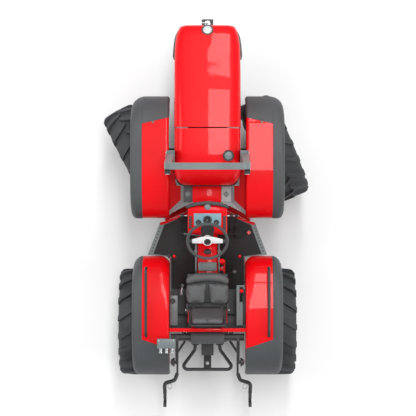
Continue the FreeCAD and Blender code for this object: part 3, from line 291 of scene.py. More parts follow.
def run_tree(piece, tree, **values):
    """Run a geometry tree on a piece with its named inputs, and keep the result as its mesh."""
    modifier = piece.modifiers.new(tree.name, "NODES")
    modifier.node_group = tree
    for item in tree.interface.items_tree:
        if item.in_out == "INPUT" and item.name.replace(" ", "_") in values:
            modifier[item.identifier] = values[item.name.replace(" ", "_")]
    piece.data.update()
    return apply_all(piece)


def ring_of_bars():
    """Tree: copies of the input shape turned evenly about the X axis."""
    tree, given, result = new_tree("ring_of_bars", [("Geometry", "Geometry"), ("Count", "Int"),
                                                    ("Finish", "Material")])
    link = tree.links.new
    points = tree.nodes.new("GeometryNodePoints")
    index = tree.nodes.new("GeometryNodeInputIndex")
    share = tree.nodes.new("ShaderNodeMath")
    share.operation = "DIVIDE"
    turn = tree.nodes.new("ShaderNodeMath")
    turn.operation = "MULTIPLY"
    turn.inputs[1].default_value = 2 * math.pi
    spin = tree.nodes.new("ShaderNodeCombineXYZ")
    copies = tree.nodes.new("GeometryNodeInstanceOnPoints")
    real = tree.nodes.new("GeometryNodeRealizeInstances")
    coat = tree.nodes.new("GeometryNodeSetMaterial")
    link(given.outputs["Count"], points.inputs["Count"])
    link(index.outputs[0], share.inputs[0])
    link(given.outputs["Count"], share.inputs[1])
    link(share.outputs[0], turn.inputs[0])
    link(turn.outputs[0], spin.inputs["X"])
    link(points.outputs[0], copies.inputs["Points"])
    link(given.outputs["Geometry"], copies.inputs["Instance"])
    link(spin.outputs[0], copies.inputs["Rotation"])
    link(copies.outputs[0], real.inputs[0])
    link(real.outputs[0], coat.inputs["Geometry"])
    link(given.outputs["Finish"], coat.inputs["Material"])
    link(coat.outputs[0], result.inputs[0])
    return tree


pitch = 2 * math.pi * TYRE_RADIUS / BARS_EACH_SIDE
BAR_RING = ring_of_bars()
bar_mesh = bpy.data.meshes.new("tread_bars")
bar_verts, bar_faces = joined(tread_bar(1, 0), tread_bar(-1, pitch / 2))
bar_mesh.from_pydata(bar_verts, [], bar_faces)
bars = bpy.data.objects.new("tread_bars", bar_mesh)
bpy.context.scene.collection.objects.link(bars)
run_tree(bars, BAR_RING, Count=BARS_EACH_SIDE, Finish=RUBBER)
tread = ([tuple(v.co) for v in bars.data.vertices], [tuple(p.vertices) for p in bars.data.polygons])
bpy.data.objects.remove(bars)
tyre_verts, tyre_faces = joined(casing(), tread)
for label in ("front_left", "front_right", "rear_left", "rear_right"):
    end, side = label.split("_")
    spin = next(j for j in frame["joints"] if j["name"] == label + "_spin")
    stand = Matrix.Translation(spin["pos_m"])
    stand = stand @ Matrix.Rotation(math.atan2(spin["axis"][1], spin["axis"][0]), 4, "Z")
    build(end + "_tyre_" + side + "_tread", [stand @ Vector(v) for v in tyre_verts], tyre_faces, RUBBER,
          end + "_wheel_" + side, "tyre_rubber", [end + "_tyre_" + side])
    finish_cad(end + "_rim_" + side, RIM_PAINT)


# ---- Bonnet ------------------------------------------------------------------------------
# Pressed steel lid in gloss red, hinged at its rear edge on two small brackets. It widens
# behind the nose and rises to the tank cover, with a soft crown and one crease each side.
RED = finish("red_paint", (0.76, 0.002, 0.006), rough=0.34, coat=0.22, grain=900, bump=0.012,
             drift=0.02, patch=3, edge=0.004, specular=0.12)
DARK_PLASTIC = finish("dark_plastic", (0.062, 0.068, 0.072), rough=0.55, grain=1400, bump=0.25,
                      drift=0.1, worn=0.5, worn_colour=(0.16, 0.17, 0.18))
SILVER = finish("silver_paint", (0.72, 0.73, 0.74), rough=0.33, metallic=0.35, grain=900, bump=0.03,
                drift=0.06)
BONNET_LOW, BONNET_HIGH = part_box("bonnet")
SURROUND_LOW, SURROUND_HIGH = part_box("nose_surround")
HINGE = Vector(next(j for j in frame["joints"] if j["name"] == "bonnet_hinge")["pos_m"])
SKIN = 0.005
CROWN = 0.006


def along(stations, count):
    """Points on a smooth curve through the stations, the same number in each span."""
    ends = [[2 * a - b for a, b in zip(stations[0], stations[1])]]
    tail = [[2 * a - b for a, b in zip(stations[-1], stations[-2])]]
    line = ends + [list(s) for s in stations] + tail
    out = []
    for k in range(1, len(line) - 2):
        for i in range(count):
            t = i / count
            point = []
            for a, b, c, d in zip(*line[k - 1:k + 3]):
                point.append(0.5 * (2 * b + (c - a) * t + (2 * a - 5 * b + 4 * c - d) * t * t
                                    + (3 * b - a - 3 * c + d) * t ** 3))
            out.append(point)
    return out + [list(stations[-1])]


def hoop(y, half, top, radius, sill, columns=10):
    """Half section of a lid, from its sill up the side, round the shoulder and over to the middle."""
    shoulder = top - radius
    points = [Vector((half - 0.001 * (1 - k / 5), y, sill + (shoulder - sill) * k / 5)) for k in range(6)]
    for k in range(1, 9):
        turn = math.pi / 2 * k / 8
        points.append(Vector((half - radius + radius * math.cos(turn), y,
                              shoulder + radius * math.sin(turn))))
    flat = half - radius
    for k in range(1, columns + 1):
        x = flat * (1 - k / columns)
        points.append(Vector((x, y, top)))
    for p in points:
        share = abs(p.x) / half
        p.z += CROWN * (0.5 - share ** 2) - 0.004 * max(0, share - 0.55)
    return points


def both_sides(points):
    """A half section and its mirror image as one row."""
    return points + [Vector((-p.x, p.y, p.z)) for p in reversed(points[:-1])]


def skinned(rows, thick, keep=lambda i, j: True, closed=False):
    """Closed sheet: the rows of points, the same rows set in by the thickness, and the rim."""
    count = len(rows[0])
    outer = [p for row in rows for p in row]
    cells = []
    for i in range(len(rows) - 1):
        for j in range(count if closed else count - 1):
            if keep(i, j):
                k = (j + 1) % count
                cells.append((i * count + j, i * count + k, (i + 1) * count + k, (i + 1) * count + j))
    normal = [Vector() for _ in outer]
    for cell in cells:
        a, b, c, d = (outer[n] for n in cell)
        facing = (c - a).cross(d - b)
        for n in cell:
            normal[n] += facing
    used = sorted({n for cell in cells for n in cell})
    index = {n: k for k, n in enumerate(used)}
    verts = [outer[n] for n in used]
    verts += [outer[n] - normal[n].normalized() * thick for n in used]
    back = len(used)
    faces = []
    edges = {}
    for cell in cells:
        ring = [index[n] for n in cell]
        faces.append(tuple(ring))
        faces.append(tuple(n + back for n in reversed(ring)))
        for a, b in zip(ring, ring[1:] + ring[:1]):
            edges[(a, b)] = edges.get((a, b), 0) + 1
    for a, b in edges:
        if (b, a) not in edges:
            faces.append((b, a, a + back, b + back))
    return verts, faces


bonnet_stations = [(0, -0.060, -0.225, 0.040), (0.014, -0.038, -0.199, 0.046), (0.060, -0.018, -0.173, 0.052),
                   (0.120, -0.007, -0.149, 0.056), (0.190, -0.002, -0.125, 0.058), (0.337, 0, -0.090, 0.060),
                   (0.487, 0, -0.055, 0.062), (0.637, 0, -0.025, 0.064), (0.789, 0, 0, 0.066)]
SWEEP = math.hypot(BONNET_LOW.y + 0.218 - HINGE.y, SURROUND_HIGH.z - HINGE.z)


def bonnet_sill(y):
    """The lower edge: over the surround at the front, then down along the arc it opens on."""
    reach = y - HINGE.y
    over_surround = SURROUND_HIGH.z + 0.004
    if abs(reach) >= SWEEP:
        return over_surround
    on_arc = HINGE.z - math.sqrt(SWEEP ** 2 - reach ** 2)
    return max(BONNET_LOW.z, min(over_surround, on_arc))


bonnet_rows = []
for offset, narrower, lower, radius in along(bonnet_stations, 6):
    y = BONNET_LOW.y + offset
    bonnet_rows.append(both_sides(hoop(y, BONNET_HIGH.x + narrower, BONNET_HIGH.z + lower, radius,
                                       bonnet_sill(y))))
front_sill = bonnet_sill(BONNET_LOW.y)
for inset in (0.012, 0.030, 0.050):
    half = BONNET_HIGH.x - 0.060 - inset
    top = max(front_sill + 0.004, BONNET_HIGH.z - 0.225 - inset)
    radius = max(0.003, min(0.040 - inset, top - front_sill - 0.001))
    bonnet_rows.insert(0, both_sides(hoop(BONNET_LOW.y - 0.002, half, top, radius, front_sill)))
lid = skinned(bonnet_rows, SKIN)


def cuboid(low, high, bevel=0.0, segments=2):
    """Box between two corners with rounded edges."""
    work = bmesh.new()
    bmesh.ops.create_cube(work, size=1)
    for v in work.verts:
        v.co = Vector([low[i] + (v.co[i] + 0.5) * (high[i] - low[i]) for i in range(3)])
    if bevel:
        bmesh.ops.bevel(work, geom=work.edges[:], offset=bevel, segments=segments, affect="EDGES",
                        profile=0.5)
    work.verts.index_update()
    verts = [v.co.copy() for v in work.verts]
    faces = [tuple(v.index for v in f.verts) for f in work.faces]
    work.free()
    return verts, faces


def lathe(at, axis, profile, sides=32):
    """Solid of revolution about an axis through a point: (radius, distance along) pairs."""
    stand = Vector(axis).to_track_quat("Z", "Y").to_matrix()
    verts = []
    for radius, height in profile:
        for k in range(sides):
            turn = 2 * math.pi * k / sides
            ring = Vector((max(radius, 0.0002) * math.cos(turn), max(radius, 0.0002) * math.sin(turn),
                           height))
            verts.append(Vector(at) + stand @ ring)
    faces = [tuple(reversed(range(sides))), tuple(range(len(verts) - sides, len(verts)))]
    for i in range(len(profile) - 1):
        for k in range(sides):
            n = (k + 1) % sides
            faces.append((i * sides + k, i * sides + n, (i + 1) * sides + n, (i + 1) * sides + k))
    return verts, faces


def roof(y):
    """Height of the bonnet's middle line at y."""
    row = min(bonnet_rows[3:], key=lambda points: abs(points[0].y - y))
    return max(p.z for p in row)


build("bonnet_skin", *lid, RED, "bonnet", "red_paint", ["bonnet"], sharp=50)
barrels = [cuboid((x - 0.012, HINGE.y - 0.006, HINGE.z - 0.006), (x + 0.012, HINGE.y + 0.006,
                                                            HINGE.z + 0.012), 0.002)
           for x in (0.078, -0.078)]
build("bonnet_hinge_eyes", *joined(*barrels), RED, "bonnet", "red_paint")
BADGE_Y = BONNET_LOW.y + 0.040
badge_at = (0, BADGE_Y, roof(BADGE_Y) - 0.006)
badge_up = (0, -0.42, 0.9)
build("nose_badge_rim", *lathe(badge_at, badge_up, [(0.046, 0), (0.046, 0.011), (0.043, 0.014),
                                                     (0.036, 0.013), (0.035, 0.004)]),
      DARK_PLASTIC, "bonnet", "dark_plastic")
build("nose_badge_dome", *lathe(badge_at, badge_up, [(0.0355, 0.003), (0.034, 0.012), (0.026, 0.0165),
                                                      (0.012, 0.0185), (0.0, 0.019)]),
      SILVER, "bonnet", "silver_paint")


# ---- Tank cover and filler cap -------------------------------------------------------------
# Second red pressing, fixed over the fuel tank. It drops steeply at the back and its rear corners are round in
# plan, with a black rubber seal round the foot of its back.
COVER_LOW, COVER_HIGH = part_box("tank_cover")
BLACK_METAL = finish("black_metal", (0.028, 0.029, 0.031), rough=0.42, grain=500, bump=0.08,
                     worn=0.7, worn_colour=(0.22, 0.22, 0.22))
GREY_METAL = finish("grey_metal", (0.16, 0.19, 0.195), rough=0.38, grain=600, bump=0.05,
                    worn=0.6, worn_colour=(0.42, 0.44, 0.45))
cover_stations = [(0, 0, -0.008, 0.066), (0.100, 0, 0, 0.066), (0.220, 0, -0.003, 0.066),
                  (0.311, 0, -0.022, 0.070), (0.350, -0.004, -0.048, 0.074), (0.384, -0.018, -0.092, 0.078),
                  (0.406, -0.040, -0.140, 0.078), (0.416, -0.062, -0.172, 0.074), (0.420, -0.078, -0.196,
                                                            0.070)]
cover_rows = []
for offset, narrower, lower, radius in along(cover_stations, 5):
    y = COVER_LOW.y + offset
    cover_rows.append(both_sides(hoop(y, COVER_HIGH.x + narrower, COVER_HIGH.z + lower - 0.0005, radius,
                                      COVER_LOW.z)))
build("tank_cover_skin", *skinned(cover_rows, SKIN), RED, "front_chassis", "red_paint", ["tank_cover"],
      sharp=50)
rear_wall = [both_sides(hoop(COVER_HIGH.y, COVER_HIGH.x - 0.078 - d, COVER_HIGH.z - 0.196 - d,
                             max(0.07 - d, 0.01),
                             COVER_LOW.z)) for d in (0, 0.012, 0.03, 0.06, 0.1, 0.15)]
build("tank_cover_back", *skinned(rear_wall, 0.004), RED, "front_chassis", "red_paint", sharp=50)


def swept(points, radius, sides=12, bend=0.02, closed=False):
    """Round bar along points, with its corners rounded off."""
    points = [Vector(p) for p in points]
    line = list(points)
    if bend and not closed:
        line = [points[0]]
        for a, b, c in zip(points, points[1:], points[2:]):
            cut = min(bend, (b - a).length * 0.45, (c - b).length * 0.45)
            first = b + (a - b).normalized() * cut
            last = b + (c - b).normalized() * cut
            line += [first.lerp(b, t).lerp(b.lerp(last, t), t) for t in (0, 0.25, 0.5, 0.75, 1)]
        line.append(points[-1])
    verts = []
    side = None
    for k, p in enumerate(line):
        ahead = line[(k + 1) % len(line)] if closed else line[min(k + 1, len(line) - 1)]
        behind = line[k - 1] if closed or k else line[0]
        forward = (ahead - behind).normalized()
        if side is None:
            side = forward.orthogonal().normalized()
        side = (side - forward * side.dot(forward)).normalized()
        other = forward.cross(side)
        for i in range(sides):
            turn = 2 * math.pi * i / sides
            verts.append(p + side * radius * math.cos(turn) + other * radius * math.sin(turn))
    faces = []
    for k in range(len(line) if closed else len(line) - 1):
        for i in range(sides):
            j = (i + 1) % sides
            n = (k + 1) % len(line)
            faces.append((k * sides + i, k * sides + j, n * sides + j, n * sides + i))
    if not closed:
        faces += [tuple(reversed(range(sides))), tuple(range(len(verts) - sides, len(verts)))]
    return verts, faces


def seal_line(row_at, lower):
    """Path round the foot of the tank cover's back, seen from above."""
    path = []
    for x, y in ((COVER_HIGH.x + 0.001, COVER_LOW.y + 0.300), (COVER_HIGH.x - 0.001, COVER_LOW.y + 0.350),
                 (COVER_HIGH.x - 0.022, COVER_HIGH.y - 0.014), (COVER_HIGH.x - 0.066, COVER_HIGH.y + 0.004)):
        path.append((x + row_at, y + row_at, lower))
    return path + [(-x, y, z) for x, y, z in reversed(path)]


build("tank_cover_seal", *swept(seal_line(0.003, COVER_LOW.z + 0.10), 0.006, 8, 0.04),
      BLACK_METAL, "front_chassis", "black_metal")
CAP_LOW, CAP_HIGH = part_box("fuel_cap")
cap_at = ((CAP_LOW.x + CAP_HIGH.x) / 2, (CAP_LOW.y + CAP_HIGH.y) / 2, CAP_LOW.z)
cap_tall = CAP_HIGH.z - CAP_LOW.z
cap_r = (CAP_HIGH.x - CAP_LOW.x) / 2
build("fuel_cap_ring", *lathe(cap_at, (0, 0, 1), [(cap_r * 0.6, 0), (cap_r * 0.6, 0.02), (cap_r, 0.0205),
                                                   (cap_r, cap_tall - 0.012), (cap_r - 0.004,
                                                            cap_tall - 0.006),
                                                   (cap_r - 0.011, cap_tall - 0.008)], 40),
      BLACK_METAL, "fuel_cap", "black_metal", ["fuel_cap"])
grip = lathe(cap_at, (0, 0, 1), [(cap_r - 0.0115, cap_tall - 0.010), (cap_r - 0.013, cap_tall - 0.002),
                                 (cap_r - 0.018, cap_tall)], 40)
bar_low = (cap_at[0] - 0.024, cap_at[1] - 0.005, CAP_HIGH.z - 0.004)
bar_high = (cap_at[0] + 0.024, cap_at[1] + 0.005, CAP_HIGH.z + 0.003)
build("fuel_cap_grip", *joined(grip, cuboid(bar_low, bar_high, 0.002)), GREY_METAL, "fuel_cap", "grey_metal")


# ---- Nose surround, grille and lamps --------------------------------------------------------
# Dark moulded band wrapped round the front, screwed to the frame. It holds a slatted grille
# in its middle and a lamp on each side.
GRILLE_HALF = 0.105
GRILLE_LOW = SURROUND_LOW.z + 0.060
GRILLE_HIGH = SURROUND_LOW.z + 0.290
LENS = finish("lamp_lens", (0.78, 0.80, 0.82), rough=0.08, coat=1.0, grain=60, bump=0.2, drift=0.03)


def nose_line():
    """Half plan of the surround, from its rear end round to the middle of the front."""
    front = SURROUND_LOW.y
    side = SURROUND_HIGH.x
    bends = [(side, SURROUND_HIGH.y), (side - 0.003, SURROUND_HIGH.y - 0.045),
             (side - 0.013, front + 0.100), (side - 0.030, front + 0.052), (side - 0.058, front + 0.020),
             (side - 0.090, front + 0.004)]
    points = along(bends, 5)
    lamp = [(0.150, front), (0.125, front), (GRILLE_HALF, front), (GRILLE_HALF * 0.5, front), (0, front)]
    return points + [list(p) for p in lamp]


nose_half = nose_line()
nose_plan = nose_half + [[-x, y] for x, y in reversed(nose_half[:-1])]
nose_rows = []
for height, inward in ((0, 0.006), (0.006, 0.001), (0.060, 0), (0.29, 0), (0.315, 0.001), (0.331, 0.004),
                       (0.337, 0.009), (0.340, 0.017)):
    row = []
    for x, y in nose_plan:
        pull = Vector((x, (y - SURROUND_HIGH.y) * 0.9, 0)).normalized() * inward
        row.append(Vector((x, y, SURROUND_LOW.z + height)) - pull)
    nose_rows.append(row)


def not_in_grille(i, j):
    """True for the surround's cells outside the grille's window."""
    middle = (nose_plan[j][0] + nose_plan[j + 1][0]) / 2
    return not (i == 2 and abs(middle) < GRILLE_HALF)


build("nose_surround_band", *skinned(nose_rows, 0.008, not_in_grille), DARK_PLASTIC, "front_chassis",
      "dark_plastic", ["nose_surround"], sharp=45)


def row_of_slats():
    """Tree: the input slat repeated upward at an even pitch."""
    tree, given, result = new_tree("row_of_slats", [("Geometry", "Geometry"), ("Count", "Int"),
                                                    ("Pitch", "Vector"), ("Finish", "Material")])
    link = tree.links.new
    line = tree.nodes.new("GeometryNodeMeshLine")
    copies = tree.nodes.new("GeometryNodeInstanceOnPoints")
    real = tree.nodes.new("GeometryNodeRealizeInstances")
    coat = tree.nodes.new("GeometryNodeSetMaterial")
    link(given.outputs["Count"], line.inputs["Count"])
    link(given.outputs["Pitch"], line.inputs["Offset"])
    link(line.outputs[0], copies.inputs["Points"])
    link(given.outputs["Geometry"], copies.inputs["Instance"])
    link(copies.outputs[0], real.inputs[0])
    link(real.outputs[0], coat.inputs["Geometry"])
    link(given.outputs["Finish"], coat.inputs["Material"])
    link(coat.outputs[0], result.inputs[0])
    return tree


ROW = row_of_slats()


def repeated(name, shell, count, pitch, material, body, slot, nodes=(), sharp=38):
    """One shell repeated along a line by the row tree, as one plain mesh."""
    piece = build(name, *shell, material, body, slot, nodes, sharp)
    return run_tree(piece, ROW, Count=count, Pitch=pitch, Finish=material)


slat = cuboid((-GRILLE_HALF + 0.001, SURROUND_LOW.y + 0.006, GRILLE_LOW + 0.004),
              (GRILLE_HALF - 0.001, SURROUND_LOW.y + 0.016, GRILLE_LOW + 0.013), 0.003)
repeated("grille_slats", slat, 9, (0, 0, 0.0265), BLACK_METAL, "front_chassis", "black_metal")
backing = cuboid((-GRILLE_HALF - 0.01, SURROUND_LOW.y + 0.020, GRILLE_LOW - 0.02),
                 (GRILLE_HALF + 0.01, SURROUND_LOW.y + 0.024, GRILLE_HIGH + 0.02))
build("grille_mesh", *backing, BLACK_METAL, "front_chassis", "black_metal")
for side, label in ((1, "left"), (-1, "right")):
    low = (min(side * 0.118, side * 0.176), SURROUND_LOW.y - 0.006, GRILLE_HIGH - 0.060)
    high = (max(side * 0.118, side * 0.176), SURROUND_LOW.y + 0.010, GRILLE_HIGH + 0.010)
    build("headlamp_shell_" + label, *cuboid(low, high, 0.006), BLACK_METAL, "front_chassis", "black_metal")
    lens_low = (low[0] + 0.006, low[1] - 0.004, low[2] + 0.006)
    lens_high = (high[0] - 0.006, low[1] + 0.006, high[2] - 0.006)
    build("headlamp_lens_" + label, *cuboid(lens_low, lens_high, 0.004, 3), LENS, "front_chassis", None)
braces = []
for side in (1, -1):
    inner, outer = sorted((side * GRILLE_HALF, side * 0.170))
    braces.append(cuboid((inner, SURROUND_LOW.y + 0.012, SURROUND_LOW.z),
                         (outer, SURROUND_LOW.y + 0.045, SURROUND_LOW.z + 0.040), 0.003))
build("nose_braces", *joined(*braces), BLACK_METAL, "front_chassis", "black_metal")


# ---- Fenders ---------------------------------------------------------------------------------
# Four arched covers, gloss red on top with a dark moulded band along the outer side. The band
# stands a little proud, turns down over the tyre, and widens to a cap at one end.
BAND_X = 0.504
LIP = 0.046
ROLL = 0.026
POWER = 2 / 2.6


def fender_shape(low, high, round_front, round_rear, round_inner):
    """The arch as two functions: the point at (x, share of the way, drop), and the share at y."""
    middle = (low.y + high.y) / 2

    def at(x, share, drop):
        front = (high.y - low.y) / 2 - drop
        rear = front
        for_corner = x - (high.x - round_front)
        if for_corner > 0:
            front -= round_front - math.sqrt(max(0, round_front ** 2 - for_corner ** 2))
        for_corner = low.x + round_inner - x
        if for_corner > 0:
            front -= round_inner - math.sqrt(max(0, round_inner ** 2 - for_corner ** 2))
        for_corner = x - (high.x - round_rear)
        if for_corner > 0:
            rear -= round_rear - math.sqrt(max(0, round_rear ** 2 - for_corner ** 2))
        c = -math.cos(math.pi * share)
        reach = rear if c > 0 else front
        y = middle + reach * math.copysign(abs(c) ** POWER, c)
        z = low.z + (high.z - low.z - drop) * abs(math.sin(math.pi * share)) ** POWER
        return Vector((x, y, z))

    def share_at(x, drop, y):
        below, above = 0.0, 1.0
        for _ in range(30):
            half = (below + above) / 2
            if at(x, half, drop).y < y:
                below = half
            else:
                above = half
        return below

    return at, share_at


def fender_columns(low, high):
    """(x, drop) of each column: a rolled inner edge, the flat top, the rolled outer edge and lip."""
    columns = [(low.x, 0.014), (low.x + 0.002, 0.006), (low.x + 0.007, 0.001), (low.x + 0.016, 0)]
    columns += [(low.x + 0.016 + (BAND_X - low.x - 0.016) * k / 14, 0) for k in range(1, 15)]
    paint = len(columns)
    flat_end = high.x - ROLL
    columns += [(BAND_X + 0.004, 0)]
    columns += [(BAND_X + (flat_end - BAND_X) * k / 4, 0) for k in range(1, 5)]
    for k in range(1, 7):
        turn = math.pi / 2 * k / 6
        columns.append((flat_end + ROLL * math.sin(turn), ROLL * (1 - math.cos(turn))))
    columns += [(high.x, ROLL + (LIP - ROLL) * k / 3) for k in range(1, 4)]
    return columns, paint


def fender(low, high, rounds, cap_at_front, edge_inner, edge_outer):
    """The left fender's paint and band shells; the band's cap ends on a slanting line."""
    at, share_at = fender_shape(low, high, *rounds)
    columns, paint = fender_columns(low, high)
    rows = []
    steps_cap = 16
    steps_top = 44
    for i in range(steps_cap + steps_top + 1):
        row = []
        for x, drop in columns:
            slope = (min(x, BAND_X) - low.x) / (BAND_X - low.x)
            meet = share_at(x, drop, edge_inner + (edge_outer - edge_inner) * slope)
            if cap_at_front:
                if i <= steps_cap:
                    share = meet * i / steps_cap
                else:
                    share = meet + (1 - meet) * (i - steps_cap) / steps_top
            elif i <= steps_top:
                share = meet * i / steps_top
            else:
                share = meet + (1 - meet) * (i - steps_top) / steps_cap
            row.append(at(x, share, drop))
        rows.append(row)

    def in_cap(i):
        return i < steps_cap if cap_at_front else i >= steps_top

    painted = skinned(rows, 0.005, lambda i, j: not in_cap(i) and j < paint - 1)
    raised = [[p.copy() for p in row] for row in rows]
    for i, row in enumerate(rows):
        for j, p in enumerate(row):
            before = row[max(j - 1, 0)]
            after = row[min(j + 1, len(row) - 1)]
            ahead = rows[min(i + 1, len(rows) - 1)][j]
            behind = rows[max(i - 1, 0)][j]
            normal = (after - before).cross(ahead - behind).normalized()
            if j >= paint or in_cap(i) or in_cap(i - 1):
                edge = j == paint or (j < paint and i == (steps_cap if cap_at_front else steps_top))
                raised[i][j] = p + normal * (0.0008 if edge else 0.003)
    band = skinned(raised, 0.006, lambda i, j: in_cap(i) or j >= paint - 1)
    return painted, band


def mirror(shell):
    """A shell's mirror image across the machine's middle."""
    verts, faces = shell
    return [Vector((-v[0], v[1], v[2])) for v in verts], [tuple(reversed(f)) for f in faces]


BANDS_LOW, BANDS_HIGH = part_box("front_fender_bands")
REAR_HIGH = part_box("rear_fender_bands")[1]
INNER_X = 0.296
front_low = Vector((INNER_X, BANDS_LOW.y, BANDS_LOW.z))
front_high = Vector((BANDS_HIGH.x - 0.002, BANDS_HIGH.y, BANDS_HIGH.z))
rear_low = Vector((INNER_X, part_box("rear_fenders")[0].y, BANDS_LOW.z - 0.060))
rear_high = Vector((REAR_HIGH.x - 0.002, REAR_HIGH.y, REAR_HIGH.z))
front_paint, front_band = fender(front_low, front_high, (0.110, 0.045, 0.012), True, -0.738, -0.688)
rear_paint, rear_band = fender(rear_low, rear_high, (0.090, 0.060, 0.075), False, 1.040, 0.970)
for label, body, paint, band in (("front", "front_chassis", front_paint, front_band),
                                 ("rear", "rear_chassis", rear_paint, rear_band)):
    build(label + "_fender_paint", *joined(paint, mirror(paint)), RED, body, "red_paint",
          [label + "_fenders"], sharp=50)
    build(label + "_fender_trim", *joined(band, mirror(band)), DARK_PLASTIC, body, "dark_plastic",
          [label + "_fender_bands"], sharp=50)


# ---- Inner mudguards and tunnel cover ----------------------------------------------------------
# Red sloping plates that close the gap between the fenders and the middle, and the bolted
# step over the swivel: a dark plate, a red cover and a light plate side by side.
GUARD_IN = 0.199
COVER_SIDE = COVER_HIGH.x + 0.003
GUARD_FRONT = -0.384
GUARD_REAR = 0.032
LIGHT_METAL = finish("light_metal", (0.36, 0.385, 0.39), rough=0.42, grain=500, bump=0.06,
                     worn=0.5, worn_colour=(0.6, 0.6, 0.6))


def plate(outline, low, high, axis="Z"):
    """Flat plate: an outline across one axis, between two heights on it."""
    order = {"X": (2, 0, 1), "Y": (0, 2, 1), "Z": (0, 1, 2)}[axis]
    verts = []
    for height in (low, high):
        for a, b in outline:
            verts.append(Vector([(a, b, height)[n] for n in order]))
    count = len(outline)
    faces = [tuple(reversed(range(count))), tuple(range(count, 2 * count))]
    for k in range(count):
        n = (k + 1) % count
        faces.append((k, n, n + count, k + count))
    return verts, faces


def on_slope(y):
    """Height of the mudguard's top at y."""
    return 0.880 - 0.180 * (y - GUARD_FRONT) / (GUARD_REAR - GUARD_FRONT)


guard_plan = [(COVER_SIDE, GUARD_FRONT), (0.306, GUARD_FRONT), (0.306, -0.060), (0.330, -0.060),
              (0.330, GUARD_REAR), (GUARD_IN, -0.088), (GUARD_IN, -0.214),
              (COVER_SIDE, -0.214)]
guard_top = plate(guard_plan, 0, 0.005)
guard_top = ([Vector((v.x, v.y, v.z + on_slope(v.y) - 0.005)) for v in guard_top[0]], guard_top[1])
guard_side = plate([(GUARD_FRONT, 0.560), (-0.300, 0.560), (-0.300, 0.838), (GUARD_FRONT, 0.874)],
                   COVER_SIDE, COVER_SIDE + 0.005, "X")
guards = joined(guard_top, guard_side)
build("inner_mudguards", *joined(guards, mirror(guards)), RED, "front_chassis", "red_paint")
# Grey strip along the mudguards' inner edge beside the tunnel and on along their slanting rear edge: painted shade,
# a grey sheet standing in for the shaded floor seen through the gap between the mudguards and the tunnel.
gap_shade_plan = [(0.182, -0.232), (0.208, -0.232), (0.208, -0.104), (0.352, 0.030), (0.334, 0.050), (0.182,
                                                            -0.090)]
gap_shade_sheet = plate(gap_shade_plan, 0, 0.004)
gap_shade_sheet = ([Vector((v.x, v.y, v.z + on_slope(v.y) + 0.002)) for v in gap_shade_sheet[0]], gap_shade_sheet[1])
build("mudguard_edging", *joined(gap_shade_sheet, mirror(gap_shade_sheet)), LIGHT_METAL, "front_chassis", "grey_metal")
edge_bar = cuboid((-0.205, -0.224, 0.828), (0.205, -0.206, 0.834), 0.002)
build("mudguard_cross_strip", *edge_bar, LIGHT_METAL, "front_chassis", "grey_metal")

TUNNEL_LOW, TUNNEL_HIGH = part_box("tunnel_cover")
tunnel_parts = []
for side in (1, -1):
    inner, outer = sorted((side * (TUNNEL_HIGH.x - 0.006), side * TUNNEL_HIGH.x))
    tunnel_parts.append(cuboid((inner, TUNNEL_LOW.y, 0.600), (outer, TUNNEL_HIGH.y, TUNNEL_HIGH.z), 0.002))
    inner, outer = sorted((side * 0.120, side * TUNNEL_HIGH.x))
    tunnel_parts.append(cuboid((inner, TUNNEL_LOW.y, TUNNEL_LOW.z), (outer, TUNNEL_LOW.y + 0.022, 0.640),
                               0.002))
tunnel_parts.append(cuboid((-TUNNEL_HIGH.x, TUNNEL_HIGH.y - 0.006, 0.600), TUNNEL_HIGH, 0.002))
tunnel_parts.append(cuboid((-TUNNEL_HIGH.x, TUNNEL_LOW.y, TUNNEL_HIGH.z - 0.006), TUNNEL_HIGH, 0.002))
build("tunnel_frame", *joined(*tunnel_parts), BLACK_METAL, "front_chassis", "black_metal", ["tunnel_cover"])
strips = (("tunnel_plate_left", 0.118, 0.184, DARK_PLASTIC, "dark_plastic"),
          ("tunnel_top", -0.106, 0.116, RED, "red_paint"),
          ("tunnel_plate_right", -0.184, -0.108, LIGHT_METAL, "grey_metal"))
for name, low_x, high_x, material, slot_name in strips:
    rise = 0.006 if material is RED else 0.003
    build(name, *cuboid((low_x, TUNNEL_LOW.y, TUNNEL_HIGH.z - 0.001), (high_x, TUNNEL_HIGH.y + 0.012,
                                                            TUNNEL_HIGH.z + rise),
                        0.0025), material, "front_chassis", slot_name)


def bolt(at, size=0.010, up=(0, 0, 1)):
    """Hexagon head on a washer: the washer is round and the head has six sides."""
    washer = lathe(at, up, [(size * 1.25, 0), (size * 1.25, size * 0.2), (size * 1.15, size * 0.25)], 20)
    top = Vector(at) + Vector(up).normalized() * size * 0.22
    return joined(washer, lathe(top, up, [(size, 0), (size, size * 0.62), (size * 0.85, size * 0.75)], 6))


tunnel_middle = (TUNNEL_LOW.y + TUNNEL_HIGH.y) / 2 + 0.006
plate_top = TUNNEL_HIGH.z + 0.002
disc = lathe((0.151, tunnel_middle, plate_top), (0, 0, 1), [(0.021, 0), (0.021, 0.004), (0.017, 0.006)], 28)
build("tunnel_bolt_left", *joined(disc, bolt((0.151, tunnel_middle, plate_top + 0.005), 0.010)),
      GREY_METAL, "front_chassis", "grey_metal")
diamond = plate([(-0.146 + 0.026 * math.cos(a), tunnel_middle + 0.026 * math.sin(a))
                 for a in (0, math.pi / 2, math.pi, 3 * math.pi / 2)], plate_top, plate_top + 0.004)
build("tunnel_bolt_right", *joined(diamond, bolt((-0.146, tunnel_middle, plate_top + 0.003), 0.011)),
      GREY_METAL, "front_chassis", "grey_metal")


